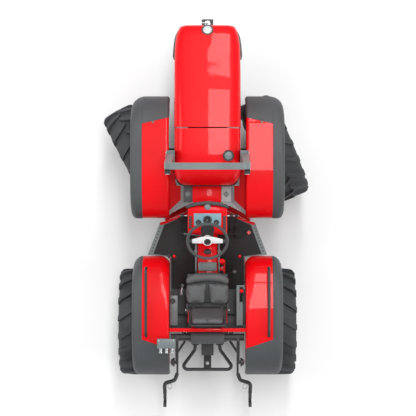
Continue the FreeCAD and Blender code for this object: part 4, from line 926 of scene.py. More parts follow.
# ---- Roll bar and lamps ---------------------------------------------------------------------------
# Box tube hoop painted grey, in brackets on two posts, held by fold pins. A work lamp sits
# behind each side of the hoop.
for name in ("roll_bar", "roll_bar_posts"):
    finish_cad(name, GREY_METAL)
POST_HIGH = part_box("roll_bar_posts")[1]
FOLD = Vector(next(j for j in frame["joints"] if j["name"] == "roll_bar_fold")["pos_m"])
hoop_bolts = [bolt((side * (POST_HIGH.x - 0.012), FOLD.y + dy, FOLD.z - 0.055), 0.010, (side, 0, 0))
              for side in (1, -1) for dy in (-0.028, 0.028)]
build("roll_bar_bolts", *joined(*hoop_bolts), LIGHT_METAL, "front_chassis", "grey_metal")
BAR_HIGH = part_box("roll_bar")[1]
for side, label in ((1, "left"), (-1, "right")):
    x0, x1 = sorted((side * 0.258, side * 0.300))
    lamp_z = BAR_HIGH.z - 0.180
    lean = (BAR_HIGH.y - FOLD.y) / (BAR_HIGH.z - FOLD.z)
    lamp_y = FOLD.y + (lamp_z - FOLD.z) * lean + 0.018
    shell = cuboid((x0, lamp_y, lamp_z - 0.03), (x1, lamp_y + 0.034, lamp_z + 0.03), 0.006)
    build("work_lamp_" + label, *shell, BLACK_METAL, "roll_bar", "black_metal")
    lens = cuboid((x0 + 0.005, lamp_y + 0.030, lamp_z - 0.025), (x1 - 0.005, lamp_y + 0.037,
                                                            lamp_z + 0.025), 0.003)
    build("work_lamp_lens_" + label, *lens, LENS, "roll_bar", None)


# ---- Running gear and engine ------------------------------------------------------------------------
# Cast and machined pieces under the covers keep their own shapes and take their real finish.
CAST_IRON = finish("cast_iron", (0.075, 0.078, 0.082), rough=0.6, grain=260, bump=0.5,
                   drift=0.2, worn=0.6, worn_colour=(0.2, 0.2, 0.2))
STEEL = finish("steel", (0.55, 0.56, 0.57), rough=0.3, metallic=1.0, grain=800, bump=0.05)
BATTERY_CASE = finish("battery_case", (0.02, 0.02, 0.021), rough=0.45, grain=900, bump=0.2)
for name in ("front_frame", "front_axle", "gearbox", "engine", "knuckle_left", "knuckle_right"):
    finish_cad(name, CAST_IRON)
for name in ("tow_hook", "drawbar", "lift_arms", "lift_rods", "lower_links", "silencer", "radiator",
             "air_cleaner", "grab_bars", "guard_tube", "seat_slide", "seat_base"):
    finish_cad(name, BLACK_METAL)
for name in ("tow_pin", "steering_rod", "pto_shaft"):
    finish_cad(name, STEEL)
for name in ("fuel_tank", "fan"):
    finish_cad(name, DARK_PLASTIC)
finish_cad("battery", BATTERY_CASE)
RADIATOR_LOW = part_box("radiator")[0]
fin = cuboid((-0.180, RADIATOR_LOW.y - 0.006, 0.585), (0.180, RADIATOR_LOW.y + 0.002, 0.588))
repeated("radiator_fins", fin, 34, (0, 0, 0.010), GREY_METAL, "front_chassis", "grey_metal")
ENGINE_LOW, ENGINE_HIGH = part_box("engine")
head_bolt = bolt((0.060, ENGINE_LOW.y + 0.060, ENGINE_HIGH.z), 0.009)
other_bolt = bolt((-0.060, ENGINE_LOW.y + 0.060, ENGINE_HIGH.z), 0.009)
repeated("head_bolts", joined(head_bolt, other_bolt), 4, (0, 0.105, 0), STEEL, "front_chassis", "steel")
for label in ("front_left", "front_right", "rear_left", "rear_right"):
    end, side_name = label.split("_")
    spin = next(j for j in frame["joints"] if j["name"] == label + "_spin")
    sign = 1 if side_name == "left" else -1
    out = Vector(spin["axis"]) * (sign * (1 if Vector(spin["axis"]).x > 0 else -1))
    reach = 0.054 if end == "front" else 0.066
    cap = lathe(Vector(spin["pos_m"]) + out * reach, out, [(0.040, -0.002), (0.040, 0.008), (0.034,
                                                            0.014)], 32)
    build(label + "_hub_cap", *cap, GREY_METAL, end + "_wheel_" + side_name, "grey_metal")


# ---- Platform and mat ------------------------------------------------------------------------------
# Folded steel floor with a grey edge and red front flanges, bolted to the gearbox and covered
# by a ribbed black rubber mat.
RUBBER_MAT = finish("rubber_mat", (0.022, 0.021, 0.022), rough=0.8, grain=700, bump=0.4, drift=0.25)
DECK_LOW, DECK_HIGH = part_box("platform")
DECK_TOP = DECK_HIGH.z
left_edge = [(0.091, -0.020), (0.150, -0.020), (0.336, 0.066), (0.380, 0.078), (0.476, 0.333), (0.300, 0.352),
             (0.300, 0.614)]
middle_edge = [(0.0, 0.614), (0.0, 0.064), (0.091, 0.064)]
deck = plate(left_edge + middle_edge, DECK_TOP - 0.008, DECK_TOP)
build("platform_floor", *joined(deck, mirror(deck)), GREY_METAL, "rear_chassis", "grey_metal", ["platform"])
lip = plate([(0.380, 0.078), (0.476, 0.333), (0.464, 0.333), (0.370, 0.080)], DECK_LOW.z, DECK_TOP - 0.008)
build("platform_lips", *joined(lip, mirror(lip)), GREY_METAL, "rear_chassis", "grey_metal")
# Black sheet across the gap behind the platform, at the floor's height: painted shade that hides the floor below
# and stands in for the dark seen down that gap.
gap_shade_shell = plate([(-0.292, 0.612), (0.292, 0.612), (0.292, 0.805), (-0.292, 0.805)], DECK_TOP - 0.008, DECK_TOP)
build("platform_apron", *gap_shade_shell, BLACK_METAL, "rear_chassis", "black_metal")
front_plan = [(0.150, -0.021, 0.498), (0.336, 0.064, 0.498), (0.352, 0.032, 0.430), (0.172, -0.060, 0.430)]
shield_verts = [Vector(p) for p in front_plan] + [Vector(p) - Vector((0, 0, 0.005)) for p in front_plan]
shield_faces = [(0, 1, 2, 3), (7, 6, 5, 4)] + [(k, k + 4, (k + 1) % 4 + 4, (k + 1) % 4) for k in range(4)]
front_shield = (shield_verts, shield_faces)
build("platform_front_shields", *joined(front_shield, mirror(front_shield)), RED, "rear_chassis", "red_paint")


def rounded(shell, width, segments=2, angle=30):
    """The shell with its sharp edges rounded off."""
    work = bmesh.new()
    corners = [work.verts.new(v) for v in shell[0]]
    for face in shell[1]:
        work.faces.new([corners[i] for i in face])
    work.normal_update()
    edges = [e for e in work.edges if e.calc_face_angle(0) > math.radians(angle)]
    bmesh.ops.bevel(work, geom=edges, offset=width, segments=segments, affect="EDGES", profile=0.5)
    work.verts.index_update()
    verts = [v.co.copy() for v in work.verts]
    faces = [tuple(v.index for v in f.verts) for f in work.faces]
    work.free()
    return verts, faces


mat_edge = [(0.100, 0.002), (0.150, 0.004), (0.326, 0.088), (0.344, 0.092), (0.432, 0.326), (0.290, 0.345),
            (0.288, 0.606), (0.0, 0.606), (0.0, 0.075), (0.100, 0.075)]
mat = plate(mat_edge, DECK_TOP, DECK_TOP + 0.004)
build("platform_mat", *joined(mat, mirror(mat)), RUBBER_MAT, "rear_chassis", None)
for side, label in ((1, "left"), (-1, "right")):
    x0, x1 = sorted((side * 0.110, side * 0.280))
    rib = cuboid((x0, 0.110, DECK_TOP + 0.003), (x1, 0.116, DECK_TOP + 0.0062), 0.0012)
    repeated("mat_ribs_" + label, rib, 20, (0, 0.0155, 0), RUBBER_MAT, "rear_chassis", None)
    flange = plate([(side * x, y) for x, y in ((0.140, -0.021), (0.336, 0.064), (0.381, 0.077), (0.376,
                                                            0.096),
                                               (0.330, 0.085), (0.134, -0.002))], DECK_TOP, DECK_TOP + 0.006)
    build("platform_flange_" + label, *rounded(flange, 0.0015), RED, "rear_chassis", "red_paint")
    hole = lathe((side * 0.378, 0.120, DECK_TOP), (0, 0, 1), [(0.006, 0), (0.006, 0.0008)], 16)
    repeated("platform_holes_" + label, hole, 8, (side * 0.0095, 0.0262, 0), BLACK_METAL, "rear_chassis",
             "black_metal")
plugs = [lathe((x, 0.346, DECK_TOP + 0.003), (0, 0, 1), [(0.013, 0), (0.013, 0.004), (0.009, 0.007)], 24)
         for x in (0.265, -0.257)]
build("floor_plugs", *joined(*plugs), RED, "rear_chassis", "red_paint")
knob_at = Vector((-0.328, 0.156, DECK_TOP + 0.003))
build("floor_knob_stem", *lathe(knob_at, (0, 0, 1), [(0.017, 0), (0.016, 0.006), (0.009, 0.012), (0.009,
                                                            0.024)], 24),
      SILVER, "rear_chassis", "silver_paint")
build("floor_knob", *lathe(knob_at, (0, 0, 1), [(0.010, 0.022), (0.014, 0.026), (0.014, 0.032), (0.009,
                                                            0.036)], 24),
      RED, "rear_chassis", "red_paint")
clip = rounded(plate([(0.300, 0.330), (0.316, 0.330), (0.316, 0.360), (0.300, 0.360)], DECK_TOP,
                     DECK_TOP + 0.018),
               0.003)
build("floor_clip", *joined(clip, bolt((0.308, 0.345, DECK_TOP + 0.018), 0.005)), BLACK_METAL, "rear_chassis",
      "black_metal")


# ---- Dashboard, gauges and switches ---------------------------------------------------------------------
# Red moulded box on a narrow column, with a dark visor in front. It carries the gauges, two
# rows of rocker switches, the pedal shaft and the steering column's rubber shroud.
def dash_z(y):
    """Height of the dashboard's sloping top at y."""
    return 1.050 - 0.2857 * (y + 0.030)


dash_side = [(-0.070, 0.780), (-0.070, 1.030), (-0.030, 1.050), (0.145, 1.000), (0.165, 0.960), (0.141,
                                                            0.780)]
column_side = [(-0.010, 0.500), (-0.070, 0.790), (0.142, 0.790), (0.115, 0.500)]
dash_shell = joined(rounded(plate(dash_side, -0.150, 0.150, "X"), 0.012, 3),
                    rounded(plate(column_side, -0.096, 0.096, "X"), 0.006))
build("dash_body", *dash_shell, RED, "rear_chassis", "red_paint", ["dashboard"])
visor_line = [(0.172, -0.046), (0.150, -0.064), (0.085, -0.086), (0.0, -0.094), (-0.085, -0.086), (-0.150,
                                                            -0.064),
              (-0.172, -0.046), (-0.150, -0.036), (-0.085, -0.056), (0.0, -0.064), (0.085, -0.056),
              (0.150, -0.036)]
build("dash_visor", *rounded(plate(visor_line, 1.030, 1.058), 0.006, 3), BLACK_METAL, "rear_chassis",
      "black_metal")
build("visor_knob", *lathe((0.0, -0.048, 1.044), (0, 0, 1), [(0.024, 0), (0.024, 0.008), (0.020, 0.013),
                                                               (0.0, 0.014)], 28),
      GREY_METAL, "rear_chassis", "grey_metal")
GAUGE_BLUE = finish("gauge_blue", (0.20, 0.36, 0.42), rough=0.35, coat=0.4, grain=1200, bump=0.05, drift=0.1)
GAUGE_DARK = finish("gauge_dark", (0.012, 0.013, 0.015), rough=0.25, coat=0.5, grain=1200, bump=0.04)
GAUGE_UP = Vector((0, 0.2747, 0.9615))
build("gauge_panel_face", *rounded(plate([(0.001, dash_z(0.001)), (0.095, dash_z(0.095)),
                                          (0.095, dash_z(0.095) + 0.006), (0.001, dash_z(0.001) + 0.006)],
                                         -0.104, 0.104, "X"), 0.002),
      GAUGE_BLUE, "rear_chassis", "gauge_face", ["gauge_panel"])
for label, x, y, size in (("middle", 0.0, 0.050, 0.033), ("left", 0.068, 0.068, 0.020), ("right", -0.068,
                                                            0.068, 0.020)):
    face_at = Vector((x, y, dash_z(y) + 0.0055))
    bezel = lathe(face_at, GAUGE_UP, [(size, 0), (size, 0.005), (size - 0.002, 0.006), (size - 0.004, 0.0055),
                                      (size - 0.0045, 0.003)], 36)
    build("gauge_bezel_" + label, *bezel, BLACK_METAL, "rear_chassis", "black_metal")
    build("gauge_dial_" + label, *lathe(face_at, GAUGE_UP, [(size - 0.0045, 0), (size - 0.0045, 0.0033)], 36),
          GAUGE_DARK, "rear_chassis", None)
    marks = []
    for k in range(9):
        turn = math.radians(-30 + 30 * k)
        spoke = Vector((math.cos(turn), math.sin(turn) * 0.9615, -math.sin(turn) * 0.2747))
        start = face_at + GAUGE_UP * 0.0036
        marks.append(swept([start + spoke * (size - 0.010), start + spoke * (size - 0.006)], 0.0007, 6, 0))
    needle = Vector((0.6, 0.769, -0.22))
    marks.append(swept([start - needle * 0.004, start + needle * (size - 0.009)], 0.0009, 6, 0))
    build("gauge_marks_" + label, *joined(*marks), SILVER, "rear_chassis", "silver_paint")
for label, x, count in (("left", 0.130, 5), ("right", -0.130, 6)):
    rocker = cuboid((x - 0.012, 0.020, dash_z(0.028) - 0.004), (x + 0.012, 0.037, dash_z(0.028) + 0.006),
                    0.003)
    repeated("switches_" + label, rocker, count, (0, 0.0195, -0.00557), BLACK_METAL, "rear_chassis",
             "black_metal")
WHEEL_JOINT = next(j for j in frame["joints"] if j["name"] == "steering_wheel_turn")
HUB = Vector(WHEEL_JOINT["pos_m"])
COLUMN = Vector((0, 0.4924, 0.8704))
shroud = [(0.052, 0), (0.052, 0.030)]
for k in range(5):
    shroud += [(0.050 - 0.002 * k, 0.036 + 0.018 * k), (0.045 - 0.002 * k, 0.045 + 0.018 * k)]
shroud += [(0.034, 0.130), (0.030, 0.144)]
build("column_shroud", *lathe(HUB - COLUMN * 0.190, COLUMN, shroud, 36), RUBBER_MAT, "rear_chassis", None)
build("pedal_shaft", *swept([(-0.244, 0.020, 0.760), (0.214, 0.020, 0.760)], 0.006, 12, 0), STEEL,
      "rear_chassis",
      "steel")


# ---- Steering wheel ---------------------------------------------------------------------------------------
# Thin moulded rim on two pale spokes that rise to a round hub with a plain black cap.
def placed(shell, at, up):
    """A shell drawn about the origin, moved to a point with its Z axis along up and X kept level."""
    up = Vector(up).normalized()
    right = Vector((1, 0, 0))
    ahead = up.cross(right).normalized()
    return [Vector(at) + right * v[0] + ahead * v[1] + up * v[2] for v in shell[0]], shell[1]


rim_line = [(0.150 * math.cos(k * math.pi / 36), 0.150 * math.sin(k * math.pi / 36), 0) for k in range(72)]
wheel_rim = placed(swept(rim_line, 0.0115, 12, 0, closed=True), HUB, COLUMN)
build("steering_wheel_rim", *wheel_rim, DARK_PLASTIC, "steering_wheel", "dark_plastic", ["steering_wheel"])
WHITE = finish("white_plastic", (0.80, 0.80, 0.80), rough=0.4, grain=900, bump=0.05, drift=0.03)
spoke_line = [(0.015, -0.036), (0.040, -0.035), (0.116, -0.014), (0.116, 0.018), (0.034, 0.020)]
spoke = rounded(plate(spoke_line, -0.010, 0.000), 0.002)
spoke_tip = cuboid((0.112, -0.011, -0.010), (0.146, 0.014, -0.003), 0.002)
build("steering_wheel_tips", *placed(joined(spoke_tip, mirror(spoke_tip)), HUB, COLUMN), DARK_PLASTIC,
      "steering_wheel", "dark_plastic")
hub = lathe((0, 0, 0), (0, 0, 1), [(0.030, -0.040), (0.036, -0.032), (0.037, 0.002), (0.034, 0.007),
                                   (0.0265, 0.008)], 40)
build("steering_wheel_hub", *placed(joined(spoke, mirror(spoke), hub), HUB, COLUMN), WHITE, "steering_wheel",
      None)
cap = lathe((0, 0, 0), (0, 0, 1), [(0.026, 0.006), (0.0255, 0.011), (0.020, 0.0135), (0.0, 0.0145)], 40)
build("steering_wheel_cap", *placed(cap, HUB, COLUMN), GAUGE_DARK, "steering_wheel", None)
build("steering_wheel_stem", *swept([HUB - COLUMN * 0.140, HUB - COLUMN * 0.038], 0.012, 20, 0), STEEL,
      "steering_wheel", "steel")


# ---- Console and side rails ---------------------------------------------------------------------------------
# Red box over the gear linkage between the driver's feet, with a ribbed grey box at its top,
# a rail along each side and a shelf for the two gear levers on the right.
console_side = [(0.170, 0.500), (0.170, 0.600), (0.250, 0.690), (0.455, 0.720), (0.614, 0.720), (0.614,
                                                            0.500)]
build("console_cover", *rounded(plate(console_side, -0.078, 0.078, "X"), 0.010, 3), RED, "rear_chassis",
      "red_paint", ["console"])
build("lever_shelf", *cuboid((-0.140, 0.370, 0.560), (-0.078, 0.520, 0.618), 0.006, 3), RED, "rear_chassis",
      "red_paint")
build("console_box", *cuboid((-0.072, 0.384, 0.710), (0.072, 0.450, 0.764), 0.006, 3), GREY_METAL,
      "rear_chassis",
      "grey_metal")
rib = cuboid((-0.066, 0.383, 0.712), (-0.060, 0.451, 0.768), 0.002)
repeated("console_box_ribs", rib, 11, (0.0120, 0, 0), GREY_METAL, "rear_chassis", "grey_metal")
side_rail = swept([(0.090, 0.205, 0.560), (0.090, 0.215, 0.660), (0.090, 0.262, 0.708), (0.090, 0.450, 0.736),
                   (0.090, 0.470, 0.700)], 0.007, 12, 0.03)
build("console_rails", *joined(side_rail, mirror(side_rail)), GREY_METAL, "rear_chassis", "grey_metal")
side_knob = lathe((0.078, 0.301, 0.690), (1, 0, 0), [(0.010, 0), (0.010, 0.010), (0.015, 0.012), (0.015,
                                                            0.024),
                                                       (0.012, 0.027)], 24)
build("console_side_knobs", *joined(side_knob, mirror(side_knob)), GREY_METAL, "rear_chassis", "grey_metal")
oval = lathe((0, 0, 0), (0, 0, 1), [(0.009, -0.004), (0.009, 0.014), (0.018, 0.018), (0.022, 0.026),
                                    (0.018, 0.034),
                                    (0.008, 0.038)], 28)
oval = placed(([Vector((v.x * 1.35, v.y, v.z)) for v in oval[0]], oval[1]), (0, 0.306, 0.694), (0, -0.145,
                                                            0.99))
build("console_knob", *oval, BLACK_METAL, "rear_chassis", "black_metal")


# ---- Pedals ---------------------------------------------------------------------------------------------------
# Flat steel arms hung from the pedal shaft, with ribbed rubber pads, and a rubber treadle on
# the floor for the accelerator.
def hung_pedal(name, body, x, half):
    """One hung pedal: a barrel on the shaft, a cranked arm, a sloping plate and its rubber pad."""
    barrel = lathe((x - 0.015, 0.020, 0.760), (1, 0, 0), [(0.013, 0), (0.013, 0.030)], 24)
    arm = plate([(0.012, 0.760), (0.030, 0.760), (0.066, 0.660), (0.146, 0.586), (0.134, 0.576), (0.050,
                                                            0.652)],
                x - 0.005, x + 0.005, "X")
    up = Vector((0, -0.574, 0.819))
    back = placed(cuboid((-half + 0.002, -0.028, -0.005), (half - 0.002, 0.028, 0.001), 0.001), (x, 0.150,
                                                            0.585), up)
    build(name + "_arm", *joined(barrel, arm, back), BLACK_METAL, body, "black_metal", [name])
    pad = placed(cuboid((-half, -0.030, 0.0), (half, 0.030, 0.006), 0.002), (x, 0.150, 0.585), up)
    ribs = [placed(cuboid((-half + 0.004, -0.024 + 0.011 * k, 0.005), (half - 0.004, -0.019 + 0.011 * k,
                                                            0.009), 0.001),
                   (x, 0.150, 0.585), up) for k in range(5)]
    build(name + "_pad", *joined(pad, *ribs), RUBBER_MAT, body, None)


hung_pedal("clutch_pedal", "clutch_pedal", 0.196, 0.028)
hung_pedal("brake_pedal_inner", "brake_pedal_inner", -0.186, 0.018)
hung_pedal("brake_pedal_outer", "brake_pedal_outer", -0.226, 0.018)
TREADLE = Vector((-0.248, 0.160, 0.526))
treadle_up = Vector((0, 0.309, 0.951))
treadle = placed(cuboid((-0.028, -0.042, -0.004), (0.028, 0.042, 0.004), 0.003), TREADLE, treadle_up)
treadle_ribs = [placed(cuboid((-0.024, -0.034 + 0.012 * k, 0.003), (0.024, -0.029 + 0.012 * k, 0.007), 0.001),
                       TREADLE, treadle_up) for k in range(6)]
heel = lathe((-0.276, 0.196, 0.514), (1, 0, 0), [(0.006, 0), (0.006, 0.056)], 16)
build("accelerator_treadle", *joined(treadle, heel, *treadle_ribs), RUBBER_MAT, "accelerator_pedal", None,
      ["accelerator_pedal"])


# ---- Levers --------------------------------------------------------------------------------------------------
# Bent round bars on pivots with moulded knobs; the two gear levers come up through bellows.
def lever(name, points, radius, knob_r, bar_material, bar_slot, knob_material, knob_slot):
    """A bent bar with a barrel on its pivot and a long knob on its end."""
    pivot = Vector(points[0])
    barrel = lathe(pivot - Vector((0.010, 0, 0)), (1, 0, 0), [(radius + 0.004, 0), (radius + 0.004,
                                                            0.020)], 20)
    build(name + "_bar", *joined(swept(points, radius, 14, 0.03), barrel), bar_material, name, bar_slot,
          [name])
    end = Vector(points[-1])
    along_bar = (end - Vector(points[-2])).normalized()
    profile = [(radius + 0.001, -1.5), (knob_r * 0.7, -1.1), (knob_r * 0.95, -0.5), (knob_r, 0.1),
               (knob_r * 0.85, 0.6),
               (knob_r * 0.5, 0.9), (knob_r * 0.1, 0.99)]
    profile = [(r, h * knob_r) for r, h in profile]
    build(name + "_knob", *lathe(end, along_bar, profile, 28), knob_material, name, knob_slot)


lever("gear_lever", [(-0.118, 0.400, 0.634), (-0.118, 0.400, 0.760), (-0.112, 0.372, 0.850)], 0.007, 0.021,
      RED, "red_paint", RED, "red_paint")
lever("range_lever", [(-0.118, 0.480, 0.634), (-0.150, 0.480, 0.700), (-0.212, 0.456, 0.800)], 0.006, 0.017,
      BLACK_METAL, "black_metal", DARK_PLASTIC, "dark_plastic")
lever("hand_brake_lever", [(0.208, 0.640, 0.600), (0.208, 0.640, 0.760), (0.194, 0.560, 0.860)], 0.007, 0.013,
      SILVER, "silver_paint", DARK_PLASTIC, "dark_plastic")
lever("lift_lever", [(-0.262, 0.640, 0.700), (-0.262, 0.640, 0.820), (-0.262, 0.600, 0.905)], 0.006, 0.015,
      BLACK_METAL, "black_metal", RED, "red_paint")
stalk_foot = HUB - COLUMN * 0.080 + Vector((0.050, 0, 0))
stalk_end = stalk_foot + Vector((0.128, -0.016, 0.030))
stalk_ring = lathe(stalk_foot - COLUMN * 0.008, COLUMN, [(0.009, 0), (0.009, 0.016)], 20)
stalk_bar = swept([stalk_foot, stalk_end], 0.005, 12, 0)
stalk_grip = swept([stalk_foot.lerp(stalk_end, 0.62), stalk_end], 0.009, 16, 0)
build("shuttle_lever_stalk", *joined(stalk_ring, stalk_bar, stalk_grip), DARK_PLASTIC, "shuttle_lever",
      "dark_plastic", ["shuttle_lever"])
for label, y in (("gear", 0.400), ("range", 0.480)):
    folds = [(0.026, 0), (0.026, 0.004)]
    for k in range(3):
        folds += [(0.023 - 0.003 * k, 0.006 + 0.005 * k), (0.019 - 0.003 * k, 0.009 + 0.005 * k)]
    build(label + "_bellows", *lathe((-0.109, y, 0.617), (0, 0, 1), folds, 28), RUBBER_MAT,
          "rear_chassis", None)


# ---- Seat -----------------------------------------------------------------------------------------------------
# Upholstered seat in dark vinyl on a slide: a front roll, two side lobes split by a groove
# and a folding back with a middle seam, each filled with foam and blown tight by pressure.
VINYL = finish("seat_vinyl", (0.085, 0.088, 0.090), rough=0.5, grain=1500, bump=0.35, drift=0.1,
               worn=0.4, worn_colour=(0.16, 0.16, 0.16))


def blown(name, shell, material, body, nodes=(), most=0.012):
    """A foam piece: remeshed evenly, inflated as cloth under pressure, with its swelling kept in bounds."""
    piece = build(name, *shell, material, body, "seat_vinyl", nodes, sharp=180)
    remesh = piece.modifiers.new("even", "REMESH")
    remesh.mode = "VOXEL"
    remesh.voxel_size = 0.006
    apply_all(piece)
    rest = [v.co.copy() for v in piece.data.vertices]
    cloth = piece.modifiers.new("foam", "CLOTH")
    cloth.settings.use_pressure = True
    cloth.settings.uniform_pressure_force = 4.0
    cloth.settings.effector_weights.gravity = 0.0
    cloth.settings.quality = 6
    cloth.point_cache.frame_start = 1
    cloth.point_cache.frame_end = 20
    for step in range(1, 21):
        bpy.context.scene.frame_set(step)
        bpy.context.view_layer.update()
    shape = piece.evaluated_get(bpy.context.evaluated_depsgraph_get()).to_mesh()
    moved = [v.co.copy() for v in shape.vertices]
    piece.modifiers.remove(cloth)
    bpy.context.scene.frame_set(1)
    for vertex, at_rest, now in zip(piece.data.vertices, rest, moved):
        shift = now - at_rest
        if shift.length > most:
            shift = shift.normalized() * most
        vertex.co = at_rest + shift
    even = piece.modifiers.new("soft", "SUBSURF")
    even.levels = 1
    even.render_levels = 1
    apply_all(piece)
    piece.data.shade_smooth()
    return piece


CUSHION_LOW, CUSHION_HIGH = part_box("seat_cushion")
front_y = CUSHION_LOW.y + 0.006
split_y = CUSHION_LOW.y + 0.094
rear_y = CUSHION_HIGH.y + 0.008
half_x = CUSHION_HIGH.x - 0.007
low_z = CUSHION_LOW.z + 0.008
high_z = CUSHION_HIGH.z - 0.012
roll_line = [(0.0, front_y), (0.090, front_y + 0.004), (half_x - 0.034, front_y + 0.018), (half_x,
                                                            front_y + 0.048),
             (half_x - 0.004, split_y + 0.004), (0.10, split_y - 0.010), (0.0, split_y - 0.016)]
roll_line = roll_line + [(-x, y) for x, y in reversed(roll_line[1:-1])]
blown("seat_front_roll", rounded(plate(roll_line, low_z, high_z), 0.018, 3), VINYL, "seat", ["seat_cushion"])
lobe_line = [(0.003, split_y - 0.010), (0.10, split_y - 0.004), (half_x - 0.004, split_y + 0.010),
             (half_x - 0.004, rear_y - 0.050), (half_x - 0.016, rear_y), (0.026, rear_y), (0.016,
                                                            rear_y - 0.060)]
lobe = rounded(plate(lobe_line, low_z, high_z + 0.004), 0.016, 3)
blown("seat_lobe_left", lobe, VINYL, "seat")
blown("seat_lobe_right", mirror(lobe), VINYL, "seat")
build("seat_pan", *cuboid((-half_x + 0.012, front_y + 0.010, CUSHION_LOW.z - 0.001),
                          (half_x - 0.012, rear_y - 0.004, CUSHION_LOW.z + 0.030), 0.006, 3),
      BLACK_METAL, "seat", "black_metal")
back_side = [(0.742, 0.864), (0.740, 0.838), (0.780, 0.818), (0.792, 0.850), (0.838, 1.158), (0.806, 1.158)]
back_pad = plate(back_side, -0.136, 0.136, "X")
back_pad = ([Vector((v.x * (1 - 0.10 * max(0, v.z - 0.90) / 0.26), v.y, v.z)) for v in back_pad[0]],
            back_pad[1])
blown("seat_back_pad", rounded(back_pad, 0.016, 3), VINYL, "seat_back", ["seat_back"], 0.008)
shell_line = [(0.776, 0.816), (0.790, 0.812), (0.806, 0.850), (0.851, 1.150), (0.845, 1.160), (0.838, 1.150),
              (0.795, 0.850)]
back_shell = rounded(plate(shell_line, -0.128, 0.128, "X"), 0.002)
build("seat_back_shell", *back_shell, BLACK_METAL, "seat_back", "black_metal")
seam = swept([(0.0, 0.752, 0.872), (0.0, 0.770, 0.960), (0.0, 0.788, 1.070), (0.0, 0.804, 1.150),
              (0.0, 0.822, 1.166)], 0.0022, 8, 0.02)
build("seat_back_seam", *seam, BLACK_METAL, "seat_back", "black_metal")
smile = [(half_x - 0.010, split_y + 0.006, high_z - 0.002), (0.10, split_y - 0.006, high_z + 0.002),
         (0.0, split_y - 0.012, high_z + 0.003)]
smile = smile + [(-x, y, z) for x, y, z in reversed(smile[:-1])]
build("seat_seam", *swept(smile, 0.0026, 8, 0.05), BLACK_METAL, "seat", "black_metal")
arm_line = [(0.742, 0.806), (0.762, 0.806), (0.842, 0.980), (0.826, 0.990)]
frame_arm = rounded(plate(arm_line, 0.146, 0.151, "X"), 0.001)
build("seat_back_arms", *joined(frame_arm, mirror(frame_arm)), RED, "seat_back", "red_paint")
pivot_caps = [bolt((side * 0.164, 0.752, 0.822), 0.009, (side, 0, 0)) for side in (1, -1)]
build("seat_pivot_bolts", *joined(*pivot_caps), STEEL, "seat", "steel")


# ---- Rear fender sides, cross bar and side panels ----------------------------------------------------------------
# Red plates under the rear fenders' inner edges, tied across by a red bar behind the seat.
# The side panels beside the seat carry the hand brake and lift controls and the oil couplers.
rear_at, rear_share = fender_shape(rear_low, rear_high, 0.090, 0.060, 0.075)
first = rear_share(INNER_X, 0.006, 0.352)
last = rear_share(INNER_X, 0.006, 1.180)
arch = [rear_at(INNER_X, first + (last - first) * k / 24, 0.006) for k in range(25)]
side_line = [(0.352, 0.502), (0.760, 0.502), (0.760, 0.640), (1.180, 0.640)]
side_line += [(p.y, p.z) for p in reversed(arch)]
inner_side = plate(side_line, INNER_X, INNER_X + 0.005, "X")
build("rear_fender_sides", *joined(inner_side, mirror(inner_side)), RED, "rear_chassis", "red_paint")
cross_parts = [cuboid((-0.295, 0.885, 0.910), (0.295, 0.912, 0.937), 0.002)]
for side in (1, -1):
    x0, x1 = sorted((side * 0.100, side * 0.126))
    cross_parts.append(cuboid((x0, 0.885, 0.700), (x1, 0.912, 0.912), 0.002))
    cross_parts.append(bolt((side * 0.270, 0.8985, 0.936), 0.008))
build("fender_cross_bar", *joined(*cross_parts), RED, "rear_chassis", "red_paint")
left_panel = [cuboid((0.232, 0.640, 0.800), (0.290, 0.872, 0.812), 0.003),
              cuboid((0.284, 0.640, 0.700), (0.290, 0.872, 0.802), 0.002)]
build("side_panel_left", *joined(*left_panel), GREY_METAL, "rear_chassis", "grey_metal", ["side_panels"])
socket = lathe((0.268, 0.683, 0.811), (0, 0, 1), [(0.021, 0), (0.021, 0.005), (0.017, 0.007), (0.013, 0.006),
                                                   (0.013, 0.002)], 32)
build("panel_socket", *socket, BLACK_METAL, "rear_chassis", "black_metal")
right_panel = []
for low, high in (((-0.290, 0.560), (-0.272, 0.872)), ((-0.252, 0.560), (-0.226, 0.872)),
                  ((-0.273, 0.560), (-0.251, 0.575)), ((-0.273, 0.690), (-0.251, 0.872))):
    right_panel.append(cuboid((low[0], low[1], 0.800), (high[0], high[1], 0.812)))
right_panel.append(cuboid((-0.290, 0.560, 0.700), (-0.284, 0.872, 0.802), 0.002))
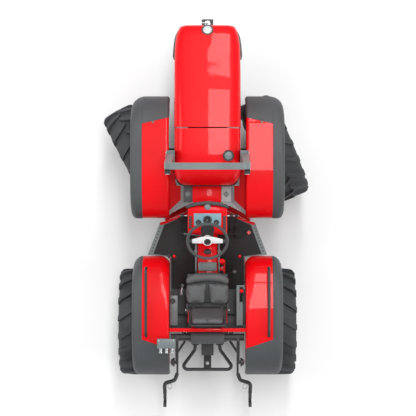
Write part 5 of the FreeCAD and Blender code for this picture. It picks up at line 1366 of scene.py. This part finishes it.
build("side_panel_right", *joined(*right_panel), GREY_METAL, "rear_chassis", "grey_metal")
gate = [cuboid((-0.276, 0.570, 0.811), (-0.271, 0.695, 0.817), 0.001),
        cuboid((-0.253, 0.570, 0.811), (-0.248, 0.695, 0.817), 0.001)]
build("lift_gate", *joined(*gate), BLACK_METAL, "rear_chassis", "black_metal")
pipes = [swept([(x, 0.590, 0.806), (x, 0.594, 0.826), (x, 0.860, 0.830), (x, 0.900, 0.700)], 0.005, 10, 0.02)
         for x in (-0.281, -0.2935)]
build("hydraulic_pipes", *joined(*pipes), BLACK_METAL, "rear_chassis", "black_metal")
build("valve_box", *cuboid((0.243, 0.959, 0.963), (0.385, 1.033, 1.018), 0.004, 3), GREY_METAL,
      "rear_chassis",
      "grey_metal")
coupler = lathe((0.270, 1.031, 0.992), (0, 1, 0), [(0.015, 0), (0.015, 0.012), (0.0125, 0.014), (0.0125,
                                                            0.022),
                                                    (0.0155, 0.024), (0.0155, 0.036), (0.012, 0.040),
                                                   (0.008, 0.040),
                                                    (0.007, 0.034)], 28)
repeated("oil_couplers", coupler, 3, (0.044, 0, 0), STEEL, "rear_chassis", "steel")
valve_bolts = [bolt((x, 0.974, 1.018), 0.006) for x in (0.258, 0.370)]
build("valve_bolts", *joined(*valve_bolts), STEEL, "rear_chassis", "steel")
chain_rings = []
for side in (1, -1):
    middle = Vector((side * 0.302, 1.392, 0.432))
    links = [middle + Vector((0.016 * math.cos(k * math.pi / 12), 0.020 * math.sin(k * math.pi / 12), 0))
             for k in range(24)]
    chain_rings.append(swept(links, 0.004, 10, 0, closed=True))
build("check_chain_rings", *joined(*chain_rings), STEEL, "lower_links", "steel")
top_bolts = []
for side in (1, -1):
    top_bolts += [bolt((side * 0.418, -0.700, 0.938), 0.007), bolt((side * 0.471, 0.905, 0.962), 0.006)]
build("fender_bolts_front", *joined(*top_bolts[0::2]), GREY_METAL, "front_chassis", "grey_metal")
build("fender_bolts_rear", *joined(*top_bolts[1::2]), GREY_METAL, "rear_chassis", "grey_metal")
